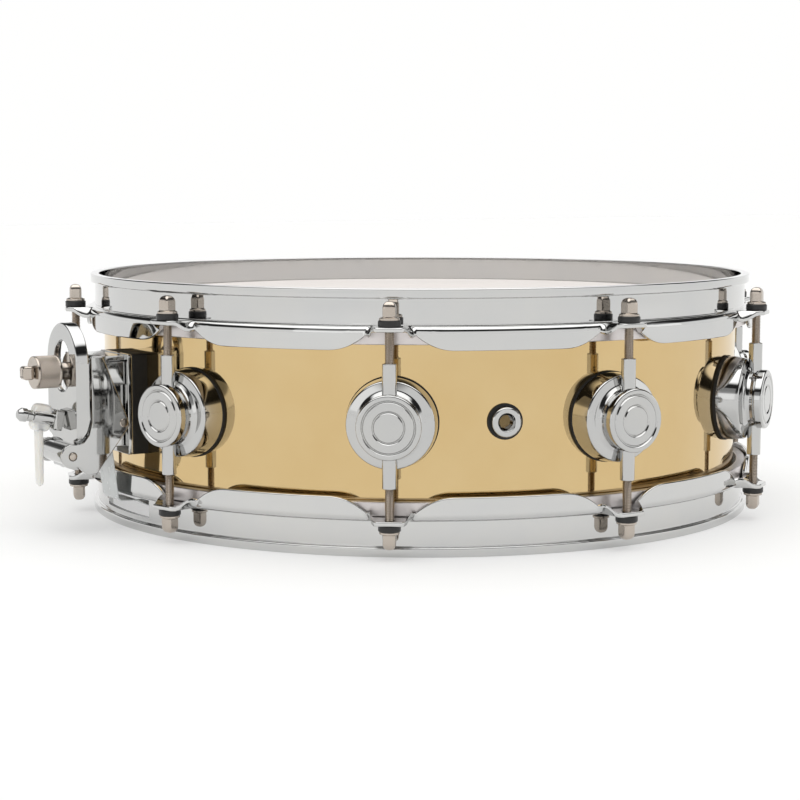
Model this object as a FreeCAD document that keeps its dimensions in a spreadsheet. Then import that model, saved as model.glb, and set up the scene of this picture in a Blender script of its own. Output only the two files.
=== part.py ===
import FreeCAD, Part
import math
import os

import Sketcher
from FreeCAD import Placement, Rotation, Vector

# A 14 by 4 inch metal snare drum, as separate pieces in one frame, in millimetres.
# The origin is on the drum's axis in the plane that the lower rim rests on, +Z points to the
# batter (played) side, the strainer is at -X and the butt plate at +X.  Pieces on the snare side
# are the batter-side pieces turned over about the drum's middle height.
# "reach" is a distance from the drum's axis, and "height" is a distance above the rest plane.

SIZES = {
    # whole drum
    "drum_height": 130.0,
    "lug_count": 10,
    "lug_pitch": 36.0,
    # shell: one turned brass tube with its edges rolled inwards to a 45 degree bearing edge
    "shell_radius": 177.5,
    "shell_wall": 1.5,
    "shell_top": 115.8,
    "edge_inset": 3.5,
    # heads: film pulled over the bearing edge into an aluminium flesh hoop
    "film_thick": 0.3,
    "flesh_inner": 179.2,
    "flesh_outer": 184.2,
    "flesh_low": 103.0,
    "shelf_low": 110.0,
    # counter hoops
    "hoop_inner": 180.0,
    "hoop_wall": 2.3,
    "bead_radius": 184.6,
    "bead_tall": 4.8,
    "bead_round": 1.6,
    "shelf_top": 112.4,
    "skirt_radius": 187.0,
    "skirt_low": 100.3,
    "skirt_gap_top": 10.0,
    "skirt_gap_low": 20.0,
    "ear_reach": 199.3,
    "ear_root": 13.0,
    "ear_tip": 7.6,
    "ear_hole": 2.7,
    "gate_half": 26.0,
    "gate_low": 7.5,
    "gate_high": 16.8,
    # tension rods, threaded 10-32, with square heads for a drum key
    "rod_reach": 193.5,
    "rod_radius": 2.4,
    "rod_low": 74.0,
    "rod_flange": 5.0,
    "rod_flange_top": 117.0,
    "rod_top": 124.6,
    "key_square": 6.35,
    "head_core": 4.1,
    "washer_radius": 5.5,
    "washer_top": 115.5,
    # lugs: a turned turret on a rubber seat with a threaded cross tube
    "seat_radius": 22.75,
    "seat_front": 180.0,
    "base_radius": 22.0,
    "base_front_radius": 20.3,
    "base_front": 188.8,
    "neck_radius": 13.5,
    "cap_radius": 15.7,
    "cap_front": 200.4,
    "tube_radius": 3.6,
    "tube_bore": 2.45,
    "tube_half": 30.0,
    "lug_screw_offset": 11.0,
    "lug_screw_radius": 2.0,
    # air vent, half way between two lugs
    "vent_turn": -18.0,
    "vent_hole": 3.4,
    "vent_flange": 7.4,
    "vent_front": 181.8,
    "vent_barrel": 5.2,
    "vent_seat": 8.85,
    # strainer (throw-off)
    "spacer_front": 185.0,
    "strainer_half": 18.0,
    "spacer_low": 40.0,
    "spacer_high": 92.0,
    "plate_front": 187.6,
    "cheek_thick": 2.4,
    "pivot_reach": 218.2,
    "pivot_height": 41.3,
    "pivot_radius": 2.0,
    "lobe_radius": 6.3,
    "lever_back": 214.0,
    "lever_front": 216.5,
    "lever_half": 20.0,
    "lever_rim_back": 209.5,
    "lever_rim_wall": 2.3,
    "lever_rim_low": 58.6,
    "lever_shoulder": 88.5,
    "slot_low": 83.5,
    "slot_high": 89.0,
    "slot_radius": 10.5,
    "knob_height": 83.5,
    "knob_radius": 8.4,
    "knob_back": 219.0,
    "knob_front": 232.0,
    "screw_radius": 2.5,
    "barrel_radius": 9.6,
    "barrel_height": 65.3,
    "barrel_front": 208.0,
    # drum key parked on the lever
    "key_height": 57.8,
    "key_tilt": 11.5,
    "peg_half": 3.1,
    "socket_half": 5.25,
    # snares
    "strand_count": 20,
    "strand_pitch": 2.2,
    "strand_radius": 0.9,
    "strand_height": 12.6,
    "strand_half": 150.0,
    "strap_thick": 0.4,
    "strap_half": 10.0,
}


class Size:
    """A length known both as a number and as the sheet expression that gives it."""

    def __init__(self, value, text):
        self.value = value
        self.text = text

    def __add__(self, other):
        other = as_size(other)
        return Size(self.value + other.value, f"({self.text} + {other.text})")

    def __sub__(self, other):
        other = as_size(other)
        return Size(self.value - other.value, f"({self.text} - ({other.text}))")

    def __mul__(self, factor):
        return Size(self.value * factor, f"({self.text}) * {factor}")

    def __neg__(self):
        return self * -1


def as_size(number):
    if isinstance(number, Size):
        return number
    return Size(number, str(number))


def make_sheet(doc):
    sheet = doc.addObject("Spreadsheet::Sheet", "Sizes")
    for row, (alias, number) in enumerate(SIZES.items(), start=1):
        sheet.set(f"A{row}", alias.replace("_", " "))
        sheet.set(f"B{row}", str(number))
        sheet.setAlias(f"B{row}", alias)
    doc.recompute()
    return sheet


def size(alias):
    return Size(SIZES[alias], f"Sizes.{alias}")


# ---- sketches and features -------------------------------------------------------------------

def new_body(doc, name):
    body = doc.addObject("PartDesign::Body", name)
    body.Label = name
    body.AllowCompound = True
    return body


def origin_feature(body, role):
    for feature in body.Origin.OriginFeatures:
        if feature.Role == role:
            return feature
    raise RuntimeError(role)


def new_sketch(body, role, lift=0, turn=0, place=None):
    """Sketch on an origin plane, moved by lift along its normal and turned about the drum's axis,
    or moved from the plane by a placement of its own."""
    sketch = body.newObject("Sketcher::SketchObject", f"{body.Name}_sketch")
    sketch.AttachmentSupport = [(origin_feature(body, role), "")]
    sketch.MapMode = "FlatFace"
    if place:
        sketch.AttachmentOffset = place
        return sketch
    lift = as_size(lift)
    spin = Rotation(Vector(0, 1, 0), turn)
    sketch.AttachmentOffset = Placement(spin.multVec(Vector(0, 0, lift.value)), spin)
    if turn == 0:
        sketch.setExpression("AttachmentOffset.Base.z", lift.text)
    return sketch


def hold_point(sketch, geometry, point, x, y):
    """Bind a point of the sketch to its two coordinates."""
    for kind, length in (("DistanceX", x), ("DistanceY", y)):
        index = sketch.addConstraint(
            Sketcher.Constraint(kind, -1, 1, geometry, point, length.value))
        sketch.setExpression(f"Constraints[{index}]", length.text)


def polygon(sketch, corners):
    """Closed outline of straight edges through the corners."""
    corners = [(as_size(x), as_size(y)) for x, y in corners]
    points = [Vector(x.value, y.value, 0) for x, y in corners]
    edges = []
    for start, end in zip(points, points[1:] + points[:1]):
        edges.append(sketch.addGeometry(Part.LineSegment(start, end), False))
    for edge, following in zip(edges, edges[1:] + edges[:1]):
        sketch.addConstraint(Sketcher.Constraint("Coincident", edge, 2, following, 1))
    for edge, (x, y) in zip(edges, corners):
        hold_point(sketch, edge, 1, x, y)


def circle(sketch, x, y, radius):
    x, y, radius = as_size(x), as_size(y), as_size(radius)
    ring = Part.Circle(Vector(x.value, y.value, 0), Vector(0, 0, 1), radius.value)
    index = sketch.addGeometry(ring, False)
    hold_point(sketch, index, 3, x, y)
    bound = sketch.addConstraint(Sketcher.Constraint("Radius", index, radius.value))
    sketch.setExpression(f"Constraints[{bound}]", radius.text)


def half_circle(sketch, y, radius, start):
    """Arc about (0, y), anticlockwise through half a turn from the start angle."""
    y, radius = as_size(y), as_size(radius)
    ring = Part.Circle(Vector(0, y.value, 0), Vector(0, 0, 1), radius.value)
    index = sketch.addGeometry(Part.ArcOfCircle(ring, start, start + math.pi), False)
    hold_point(sketch, index, 3, as_size(0), y)
    for end in (1, 2):
        level = sketch.addConstraint(
            Sketcher.Constraint("DistanceY", -1, 1, index, end, y.value))
        sketch.setExpression(f"Constraints[{level}]", y.text)
    bound = sketch.addConstraint(Sketcher.Constraint("Radius", index, radius.value))
    sketch.setExpression(f"Constraints[{bound}]", radius.text)


def chain(sketch, path):
    """Straight edges through the points of an open path."""
    for (x0, y0), (x1, y1) in zip(path, path[1:]):
        x0, y0, x1, y1 = as_size(x0), as_size(y0), as_size(x1), as_size(y1)
        start, end = Vector(x0.value, y0.value, 0), Vector(x1.value, y1.value, 0)
        edge = sketch.addGeometry(Part.LineSegment(start, end), False)
        hold_point(sketch, edge, 1, x0, y0)
        hold_point(sketch, edge, 2, x1, y1)


def arch(sketch, half, low, shoulder):
    """Outline with a straight foot and sides and a round top."""
    half_circle(sketch, shoulder, half, 0.0)
    chain(sketch, [(-half, shoulder), (-half, low), (half, low), (half, shoulder)])


def stadium(sketch, radius, low, high):
    """Upright slot outline with round ends about the two heights."""
    half_circle(sketch, high, radius, 0.0)
    half_circle(sketch, low, radius, math.pi)
    chain(sketch, [(-radius, high), (-radius, low)])
    chain(sketch, [(radius, low), (radius, high)])


def rectangle(sketch, x0, x1, y0, y1):
    polygon(sketch, [(x0, y0), (x1, y0), (x1, y1), (x0, y1)])


def extrude(body, kind, sketch, length, both=False, back=False):
    feature = body.newObject(f"PartDesign::{kind}", f"{body.Name}_{kind.lower()}")
    feature.Profile = sketch
    length = as_size(length)
    feature.Length = length.value
    feature.setExpression("Length", length.text)
    feature.SideType = "Symmetric" if both else "One side"
    feature.Reversed = back
    sketch.Visibility = False
    return feature


def pad(body, sketch, length, both=False, back=False):
    return extrude(body, "Pad", sketch, length, both, back)


def pocket(body, sketch, length, both=False, back=False):
    """Cut along the sketch's own normal; back cuts the other way."""
    return extrude(body, "Pocket", sketch, length, both, back=not back)


def revolve(body, sketch, axis=None, kind="Revolution"):
    feature = body.newObject(f"PartDesign::{kind}", f"{body.Name}_{kind.lower()}")
    feature.Profile = sketch
    feature.ReferenceAxis = axis if axis else (sketch, ["V_Axis"])
    feature.Angle = 360
    sketch.Visibility = False
    return feature


def polar(body, features, count=None):
    """Repeat features evenly about the drum's axis, once per lug unless told otherwise."""
    pattern = body.newObject("PartDesign::PolarPattern", f"{body.Name}_polar")
    pattern.Originals = features
    pattern.Axis = (origin_feature(body, "Z_Axis"), [""])
    pattern.Angle = 360
    pattern.Occurrences = count if count else SIZES["lug_count"]
    if not count:
        pattern.setExpression("Occurrences", "Sizes.lug_count")
    body.Tip = pattern
    return pattern


def round_edges(doc, body, radius, wanted):
    """Fillet the edges of the body's tip that the test picks."""
    doc.recompute()
    tip = body.Tip
    names = [f"Edge{i}" for i, edge in enumerate(tip.Shape.Edges, start=1) if wanted(edge)]
    if not names:
        raise RuntimeError(f"{body.Label}: no edge to round")
    fillet = body.newObject("PartDesign::Fillet", f"{body.Name}_fillet")
    fillet.Base = (tip, names)
    radius = as_size(radius)
    fillet.Radius = radius.value
    fillet.setExpression("Radius", radius.text)
    return fillet


def ring_edge(reach, height):
    """Test for a whole circle about the drum's axis at this reach and height."""
    def wanted(edge):
        curve = edge.Curve
        if curve.TypeId != "Part::GeomCircle":
            return False
        level = abs(edge.BoundBox.ZMin - height) < 0.01 and edge.BoundBox.ZLength < 0.01
        return level and abs(curve.Radius - reach) < 0.01
    return wanted


def turn_over(body):
    """Put a batter-side piece on the snare side: half a turn about X, then up by the height."""
    body.Placement = Placement(Vector(0, 0, SIZES["drum_height"]), Rotation(Vector(1, 0, 0), 180))
    body.setExpression("Placement.Base.z", "Sizes.drum_height")


# ---- shell, heads and hoops --------------------------------------------------------------------

def build_shell(doc):
    body = new_body(doc, "shell")
    radius, wall, top = size("shell_radius"), size("shell_wall"), size("shell_top")
    low = size("drum_height") - top
    inset = size("edge_inset")
    skew = wall * 0.7071
    sketch = new_sketch(body, "XZ_Plane")
    polygon(sketch, [
        (radius, low + inset), (radius, top - inset),
        (radius - inset, top), (radius - inset - skew, top - skew),
        (radius - wall, top - inset - skew * 0.5), (radius - wall, low + inset + skew * 0.5),
        (radius - inset - skew, low + skew), (radius - inset, low)])
    revolve(body, sketch)
    # lug screw holes, two to a lug
    middle = size("drum_height") * 0.5
    screws = new_sketch(body, "XZ_Plane")
    for side in (1, -1):
        circle(screws, 0, middle + size("lug_screw_offset") * side, size("lug_screw_radius"))
    polar(body, [pocket(body, screws, radius + 5)])
    # air vent
    vent = new_sketch(body, "XZ_Plane", turn=SIZES["vent_turn"])
    circle(vent, 0, middle, size("vent_barrel"))
    pocket(body, vent, radius + 5)
    # strainer and butt plate screws
    mounts = new_sketch(body, "YZ_Plane")
    for height in (48.0, 84.0):
        circle(mounts, 0, height, size("lug_screw_radius"))
    pocket(body, mounts, radius + 5, back=True)
    butt = new_sketch(body, "YZ_Plane")
    for height in (47.0, 67.0):
        circle(butt, 0, height, size("lug_screw_radius"))
    pocket(body, butt, radius + 5)
    return body


def build_head(doc, name, over):
    """Film: flat in the middle, over the bearing edge, down against the flesh hoop."""
    body = new_body(doc, name)
    top, film = size("shell_top"), size("film_thick")
    edge = size("shell_radius") - size("edge_inset")
    hem = size("flesh_inner")
    sketch = new_sketch(body, "XZ_Plane")
    polygon(sketch, [
        (0, top), (edge + 0.2, top), (hem - 1.2, top - 3.4), (hem - film, top - 6.8),
        (hem - film, top - 11.3), (hem, top - 11.3), (hem, top - 6.8),
        (hem - 0.9, top - 3.25), (edge + 0.33, top + film), (0, top + film)])
    revolve(body, sketch)
    if over:
        turn_over(body)
    return body


def build_flesh_hoop(doc, name, over):
    body = new_body(doc, name)
    sketch = new_sketch(body, "XZ_Plane")
    rectangle(sketch, size("flesh_inner"), size("flesh_outer"), size("flesh_low"), size("shelf_low"))
    revolve(body, sketch)
    if over:
        turn_over(body)
    return body


def build_counter_hoop(doc, name, over):
    """Steel hoop with a beaded lip, a wall, and a flange that is an ear at each lug and a skirt
    between the lugs.  The one on the snare side has two gates for the snare straps."""
    body = new_body(doc, name)
    inner, wall = size("hoop_inner"), size("hoop_wall")
    top, shelf = size("drum_height"), size("shelf_top")
    low, skirt = size("shelf_low"), size("skirt_radius")
    bead_low = top - size("bead_tall")
    sketch = new_sketch(body, "XZ_Plane")
    polygon(sketch, [
        (inner, low), (inner, top), (size("bead_radius"), top), (size("bead_radius"), bead_low),
        (inner + wall, bead_low), (inner + wall, shelf), (skirt, shelf), (skirt, size("skirt_low")),
        (skirt - wall, size("skirt_low")), (skirt - wall, low)])
    revolve(body, sketch)
    round_edges(doc, body, size("bead_round") * 0.9,
                ring_edge(SIZES["bead_radius"], SIZES["drum_height"] - SIZES["bead_tall"]))
    if not over:
        round_edges(doc, body, size("bead_round"),
                    ring_edge(SIZES["bead_radius"], SIZES["drum_height"]))
    round_edges(doc, body, 1.4, ring_edge(SIZES["skirt_radius"], SIZES["shelf_top"]))
    # the skirt stops short of each ear
    cut = new_sketch(body, "XZ_Plane", lift=size("flesh_outer"))
    polygon(cut, [
        (-size("skirt_gap_top"), low), (-size("skirt_gap_low"), size("skirt_low") - 1),
        (size("skirt_gap_low"), size("skirt_low") - 1), (size("skirt_gap_top"), low)])
    polar(body, [pocket(body, cut, 12)])
    ear = new_sketch(body, "XY_Plane", lift=low)
    tip, root, reach = size("ear_tip"), size("ear_root"), size("ear_reach")
    polygon(ear, [
        (-root, -(skirt - 4)), (-root, -(skirt - 1.5)), (-tip - 1.6, -(reach - 4)), (-tip + 1.6, -reach),
        (tip - 1.6, -reach), (tip + 1.6, -(reach - 4)), (root, -(skirt - 1.5)), (root, -(skirt - 4))])
    polar(body, [pad(body, ear, shelf - low)])
    hole = new_sketch(body, "XY_Plane", lift=low - 2)
    circle(hole, 0, -size("rod_reach"), size("ear_hole"))
    polar(body, [pocket(body, hole, 8)])
    if over:
        gates = new_sketch(body, "YZ_Plane")
        half = size("gate_half")
        rectangle(gates, -half, half, top - size("gate_high"), top - size("gate_low"))
        pocket(body, gates, 400, both=True)
        turn_over(body)
    return body


# ---- tension rods and lugs -----------------------------------------------------------------------

def build_rod(doc, name, position, over):
    """Tension rod: a threaded shank, a round flange and a square head with a domed end."""
    body = new_body(doc, name)
    core, top = size("head_core"), size("rod_top")
    sketch = new_sketch(body, "XZ_Plane")
    flange_top = size("rod_flange_top")
    polygon(sketch, [
        (0, size("rod_low")), (size("rod_radius") - 0.6, size("rod_low")),
        (size("rod_radius"), size("rod_low") + 0.8), (size("rod_radius"), size("washer_top")),
        (size("rod_flange"), size("washer_top")), (size("rod_flange"), flange_top - 0.4),
        (core, flange_top), (core, top - 2.4), (core - 0.8, top - 1.0), (core - 2.2, top - 0.2),
        (core - 3.2, top), (0, top)])
    revolve(body, sketch)
    flats = new_sketch(body, "XY_Plane", lift=flange_top)
    half = size("key_square") * 0.5
    rectangle(flats, -half, half, -half, half)
    rectangle(flats, -half - 4, half + 4, -half - 4, half + 4)
    pocket(body, flats, 12)
    reach = Vector(0, -SIZES["rod_reach"], 0)
    place = Rotation(Vector(0, 0, 1), position * SIZES["lug_pitch"]).multVec(reach)
    if over:
        place.z = SIZES["drum_height"]
        body.Placement = Placement(place, Rotation(Vector(1, 0, 0), 180))
    else:
        body.Placement = Placement(place, Rotation())
    return body


def build_rod_washers(doc):
    """Nylon washers between the rod flanges and the hoop ears, one for each rod."""
    body = new_body(doc, "rod_washers")
    thick = size("washer_top") - size("shelf_top")
    pads = []
    for height in (size("shelf_top"), size("drum_height") - size("washer_top")):
        sketch = new_sketch(body, "XY_Plane", lift=height)
        circle(sketch, 0, -size("rod_reach"), size("washer_radius"))
        circle(sketch, 0, -size("rod_reach"), size("rod_radius") + 0.06)
        pads.append(pad(body, sketch, thick))
    polar(body, pads)
    return body


def radial_disc(body, reach, length, radius, heights, hole=None, turn=0):
    """Cylinders standing out towards -Y from a reach, one at each height."""
    sketch = new_sketch(body, "XZ_Plane", lift=reach, turn=turn)
    for height in heights:
        circle(sketch, 0, height, radius)
        if hole:
            circle(sketch, 0, height, hole)
    return pad(body, sketch, length)


def lug_screw_heights():
    middle = size("drum_height") * 0.5
    return [middle + size("lug_screw_offset"), middle - size("lug_screw_offset")]


def clear_shell(body, radius, low=0.0, high=130.0):
    """Cut away what lies inside a radius, so that a seat fits the shell's curve."""
    sketch = new_sketch(body, "XY_Plane", lift=low)
    circle(sketch, 0, 0, radius)
    return pocket(body, sketch, high - low)


def build_lug_seats(doc):
    """Rubber seats, flat in front and curved to the shell behind."""
    body = new_body(doc, "lug_seats")
    middle = size("drum_height") * 0.5
    back = size("shell_radius") - 2.5
    disc = radial_disc(body, back, size("seat_front") - back, size("seat_radius"), [middle])
    holes = new_sketch(body, "XZ_Plane", lift=back)
    for height in lug_screw_heights():
        circle(holes, 0, height, size("lug_screw_radius"))
    drilled = pocket(body, holes, 8)
    polar(body, [disc, drilled])
    clear_shell(body, size("shell_radius"))
    return body


def build_lug_turrets(doc):
    """Turned turrets: a tapered base, a waisted neck and a round cap with two grooves."""
    body = new_body(doc, "lug_turrets")
    middle = size("drum_height") * 0.5
    seat, base, front = size("seat_front"), size("base_front"), size("cap_front")
    cap, neck = size("cap_radius"), size("neck_radius")
    sketch = new_sketch(body, "YZ_Plane")
    profile = [
        (seat, 0), (seat, size("base_radius")), (base, size("base_front_radius")),
        (base + 1.2, size("base_front_radius") - 0.8), (base + 1.4, size("base_front_radius") - 3.2),
        (base + 3.0, neck + 0.6), (base + 4.4, neck), (base + 6.0, neck + 0.8), (base + 7.2, cap),
        (front - 1.4, cap), (front - 0.5, cap - 0.5), (front, cap - 1.6),
        (front, cap - 3.0), (front - 0.5, cap - 3.2), (front, cap - 3.6),
        (front, cap - 8.0), (front - 0.5, cap - 8.2), (front, cap - 8.6), (front, 0)]
    polygon(sketch, [(-as_size(reach), middle + radius) for reach, radius in profile])
    axis = sketch.addGeometry(
        Part.LineSegment(Vector(-front.value, middle.value, 0), Vector(-seat.value, middle.value, 0)), True)
    hold_point(sketch, axis, 1, -front, middle)
    hold_point(sketch, axis, 2, -seat, middle)
    turned = revolve(body, sketch, (sketch, ["Axis0"]))
    cross = new_sketch(body, "XY_Plane")
    circle(cross, 0, -size("rod_reach"), size("tube_radius"))
    bored = pocket(body, cross, 130)
    screws = new_sketch(body, "XZ_Plane", lift=seat)
    for height in lug_screw_heights():
        circle(screws, 0, height, size("lug_screw_radius"))
    tapped = pocket(body, screws, 6)
    polar(body, [turned, bored, tapped])
    return body


def build_lug_tubes(doc):
    """Threaded cross tubes, each taking one rod from above and one from below."""
    body = new_body(doc, "lug_tubes")
    sketch = new_sketch(body, "XY_Plane", lift=size("drum_height") * 0.5 - size("tube_half"))
    circle(sketch, 0, -size("rod_reach"), size("tube_radius"))
    circle(sketch, 0, -size("rod_reach"), size("tube_bore"))
    polar(body, [pad(body, sketch, size("tube_half") * 2)])
    return body


def build_lug_screws(doc):
    """Screws from inside the shell into the turrets."""
    body = new_body(doc, "lug_screws")
    inside = size("shell_radius") - size("shell_wall") - 1.1
    heights = lug_screw_heights()
    shank = radial_disc(body, inside - 0.1, 9.6, size("lug_screw_radius"), heights)
    head = radial_disc(body, inside - 2.6, 2.6, 3.8, heights)
    polar(body, [shank, head])
    return body


def build_lug_screw_washers(doc):
    body = new_body(doc, "lug_screw_washers")
    inside = size("shell_radius") - size("shell_wall") - 1.1
    polar(body, [radial_disc(body, inside, 1.0, 5.0, lug_screw_heights(), size("lug_screw_radius"))])
    return body


# ---- air vent ------------------------------------------------------------------------------------

def build_vent(doc):
    middle = [size("drum_height") * 0.5]
    turn = SIZES["vent_turn"]
    seat_front = size("shell_radius") + 1.0
    seat = new_body(doc, "vent_seat")
    radial_disc(seat, size("shell_radius") - 0.5, 1.5, size("vent_seat"), middle, size("vent_barrel"), turn)
    clear_shell(seat, size("shell_radius"))
    grommet = new_body(doc, "vent_grommet")
    inside = size("shell_radius") - size("shell_wall") - 4.5
    radial_disc(grommet, inside, seat_front - inside, size("vent_barrel"), middle, size("vent_hole"), turn)
    radial_disc(grommet, seat_front, size("vent_front") - seat_front, size("vent_flange"), middle,
                size("vent_hole"), turn)
    nut = new_body(doc, "vent_nut")
    radial_disc(nut, size("shell_radius") - size("shell_wall") - 3.4, 3.2, 8.0, middle,
                size("vent_barrel"), turn)


# ---- strainer ------------------------------------------------------------------------------------
# Sketches on the XZ plane take -reach as their first coordinate, because the strainer is at -X.

def side_block(body, outline, half, near=0, sides=(1,)):
    """Pad a side outline of (reach, height) corners; from near to half on each side, or across."""
    made = []
    for side in sides:
        lift = as_size(near) if side > 0 else -as_size(half)
        sketch = new_sketch(body, "XZ_Plane", lift=lift if near else 0)
        polygon(sketch, [(-as_size(reach), height) for reach, height in outline])
        length = as_size(half) - as_size(near) if near else as_size(half) * 2
        made.append(pad(body, sketch, length, both=not near))
    return made


def side_pin(body, reach, height, radius, half, near=0, sides=(1,), cut=False):
    """A pin across the strainer, from near to half on each side, or right across."""
    for side in sides:
        lift = as_size(near) if side > 0 else -as_size(half)
        sketch = new_sketch(body, "XZ_Plane", lift=lift if near else 0)
        circle(sketch, -as_size(reach), height, radius)
        length = as_size(half) - as_size(near) if near else as_size(half) * 2
        if cut:
            pocket(body, sketch, length, both=not near)
        else:
            pad(body, sketch, length, both=not near)


def front_disc(body, reach, length, radius, height, hole=None, offset=0):
    """A cylinder along X standing out from a reach, at a height, towards -X."""
    sketch = new_sketch(body, "YZ_Plane", lift=-as_size(reach))
    for y in ((offset, -as_size(offset)) if offset else (0,)):
        circle(sketch, y, height, radius)
        if hole:
            circle(sketch, y, height, hole)
    return pad(body, sketch, length, back=True)


def front_cut(body, reach, length, radius, height, offset=0):
    sketch = new_sketch(body, "YZ_Plane", lift=-as_size(reach))
    for y in ((offset, -as_size(offset)) if offset else (0,)):
        circle(sketch, y, height, radius)
    return pocket(body, sketch, length, back=True)


def box_outline(reach_back, reach_front, low, high):
    return [(reach_back, low), (reach_front, low), (reach_front, high), (reach_back, high)]


MOUNT_SCREW_HEIGHTS = (48.0, 84.0)
BUTT_SCREW_HEIGHTS = (47.0, 67.0)


def build_strainer_spacer(doc):
    body = new_body(doc, "strainer_spacer")
    shell = size("shell_radius")
    side_block(body, box_outline(shell - 2, size("spacer_front"), size("spacer_low"), size("spacer_high")),
               size("strainer_half"))
    for height in MOUNT_SCREW_HEIGHTS:
        front_cut(body, shell - 3, 12, size("lug_screw_radius"), height)
    clear_shell(body, shell)
    return body


def build_strainer_base(doc):
    """Back plate, two cheeks that carry the lever's pivot, and a bridge across their tops."""
    body = new_body(doc, "strainer_base")
    half, thick = size("strainer_half"), size("cheek_thick")
    back, front = size("spacer_front"), size("plate_front")
    side_block(body, box_outline(back, front, size("spacer_low"), size("spacer_high")), half)
    side_block(body, box_outline(front, 203.0, 89.2, size("spacer_high") - 0.4), half)
    cheek = [
        (209.2, 91.9), (209.2, 58.0), (210.6, 52.6), (213.4, 48.6), (217.4, 46.8),
        (219.4, 41.3), (216.0, 36.2), (210.5, 31.0), (205.5, 31.0), (186.4, 55.6), (201.0, 91.6)]
    side_block(body, cheek, half, near=half - thick, sides=(1, -1))
    pivot = (size("pivot_reach"), size("pivot_height"))
    side_pin(body, *pivot, size("lobe_radius"), half, near=half - thick, sides=(1, -1))
    side_pin(body, *pivot, size("pivot_radius"), half + 1, cut=True)
    for height in MOUNT_SCREW_HEIGHTS:
        front_cut(body, back - 1, 5, size("lug_screw_radius"), height)
    return body


def build_lever(doc):
    """Channel-shaped lever: an arched face with an oval slot, a rim round its back, and a
    hinge barrel between the cheeks.  A square peg on its face holds the drum key."""
    body = new_body(doc, "strainer_lever")
    half, back, front = size("lever_half"), size("lever_back"), size("lever_front")
    shoulder, rim_low = size("lever_shoulder"), size("lever_rim_low")
    rim_back, rim_wall = size("lever_rim_back"), size("lever_rim_wall")
    blank = new_sketch(body, "YZ_Plane", lift=-rim_back)
    arch(blank, half, rim_low, shoulder)
    pad(body, blank, front - rim_back, back=True)
    hollow = new_sketch(body, "YZ_Plane", lift=-(rim_back - 1))
    arch(hollow, half - rim_wall, rim_low - 4, shoulder)
    pocket(body, hollow, back - rim_back + 1, back=True)
    foot = new_sketch(body, "YZ_Plane", lift=-back)
    polygon(foot, [
        (-half, 55.0), (-14.4, 49.5), (-14.4, 33.5), (14.4, 33.5), (14.4, 49.5), (half, 55.0),
        (half, rim_low + 2), (-half, rim_low + 2)])
    pad(body, foot, front - back, back=True)
    slot = new_sketch(body, "YZ_Plane", lift=-(back - 1))
    stadium(slot, size("slot_radius"), size("slot_low"), size("slot_high"))
    pocket(body, slot, 6, back=True)
    pivot = (size("pivot_reach"), size("pivot_height"))
    side_pin(body, *pivot, 5.2, 14.4)
    side_pin(body, *pivot, size("pivot_radius") + 0.05, 16, cut=True)
    root = key_frame().multVec(Vector(-1.0, 0, 0))
    tilt = Rotation(Vector(1, 0, 0), 180 + SIZES["key_tilt"])
    peg = new_sketch(body, "YZ_Plane", place=Placement(Vector(0, root.z, root.x), tilt))
    peg_half = size("peg_half")
    rectangle(peg, -peg_half, peg_half, -peg_half, peg_half)
    pad(body, peg, 6.6)
    return body


def key_frame():
    """Placement whose +X runs out of the lever's face along the parked key."""
    start = Vector(-SIZES["lever_front"] + 0.4, 0, SIZES["key_height"])
    return Placement(start, Rotation(Vector(0, 1, 0), 180 + SIZES["key_tilt"]))


def key_block(doc, name, near, far, half_y, half_z, drop=0.0):
    """A box along the key's axis from near to far, in the drum's frame."""
    block = doc.addObject("Part::Box", name)
    block.Length = far - near
    block.Width = half_y * 2
    block.Height = half_z * 2
    corner = Vector(near, -half_y, -half_z - drop)
    block.Placement = key_frame().multiply(Placement(corner, Rotation()))
    return block


def key_rod(doc, name, near, far, radius):
    rod = doc.addObject("Part::Cylinder", name)
    rod.Radius = radius
    rod.Height = far - near
    rod.Placement = key_frame().multiply(Placement(Vector(near, 0, 0), Rotation(Vector(0, 1, 0), 90)))
    return rod


def fuse(doc, name, pieces):
    joined = doc.addObject("Part::MultiFuse", name)
    joined.Shapes = pieces
    joined.Refine = True
    joined.Label = name
    return joined


def cut(doc, name, base, tool):
    left = doc.addObject("Part::Cut", name)
    left.Base = base
    left.Tool = tool
    left.Label = name
    return left


def build_key(doc):
    """Drum key: a steel socket with a square bore, and a nylon grip with a long tongue."""
    half = SIZES["socket_half"]
    socket = fuse(doc, "key_socket_blank", [
        key_block(doc, "socket_block", 1.8, 6.2, half, half),
        key_rod(doc, "socket_barrel", 6.0, 17.0, 4.3),
        key_rod(doc, "socket_tip", 16.8, 24.2, 2.9),
        key_rod(doc, "socket_point", 24.0, 25.4, 1.9)])
    bore = key_block(doc, "socket_bore", -1.0, 8.0, SIZES["peg_half"] + 0.15, SIZES["peg_half"] + 0.15)
    socket = cut(doc, "key_socket", socket, bore)
    tongue = doc.addObject("Part::Box", "grip_tongue")
    tongue.Length = 3.6
    tongue.Width = 6.4
    tongue.Height = 36.0
    tongue.Placement = Placement(Vector(-231.4, -3.2, 24.6), Rotation())
    grip = fuse(doc, "key_grip_blank", [key_rod(doc, "grip_boss", 7.4, 17.6, 7.0), tongue])
    hole = key_rod(doc, "grip_bore", 0.0, 20.0, 4.3)
    cut(doc, "key_grip", grip, hole)


def build_lever_pin(doc):
    body = new_body(doc, "lever_pin")
    side_pin(body, size("pivot_reach"), size("pivot_height"), size("pivot_radius"),
             size("strainer_half") + 0.4)
    return body


def build_keeper(doc):
    """Steel disc on the back of the lever that the magnet holds."""
    body = new_body(doc, "lever_keeper")
    front_disc(body, 212.2, size("lever_back") - 212.2, 7.5, size("barrel_height"))
    return body


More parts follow.
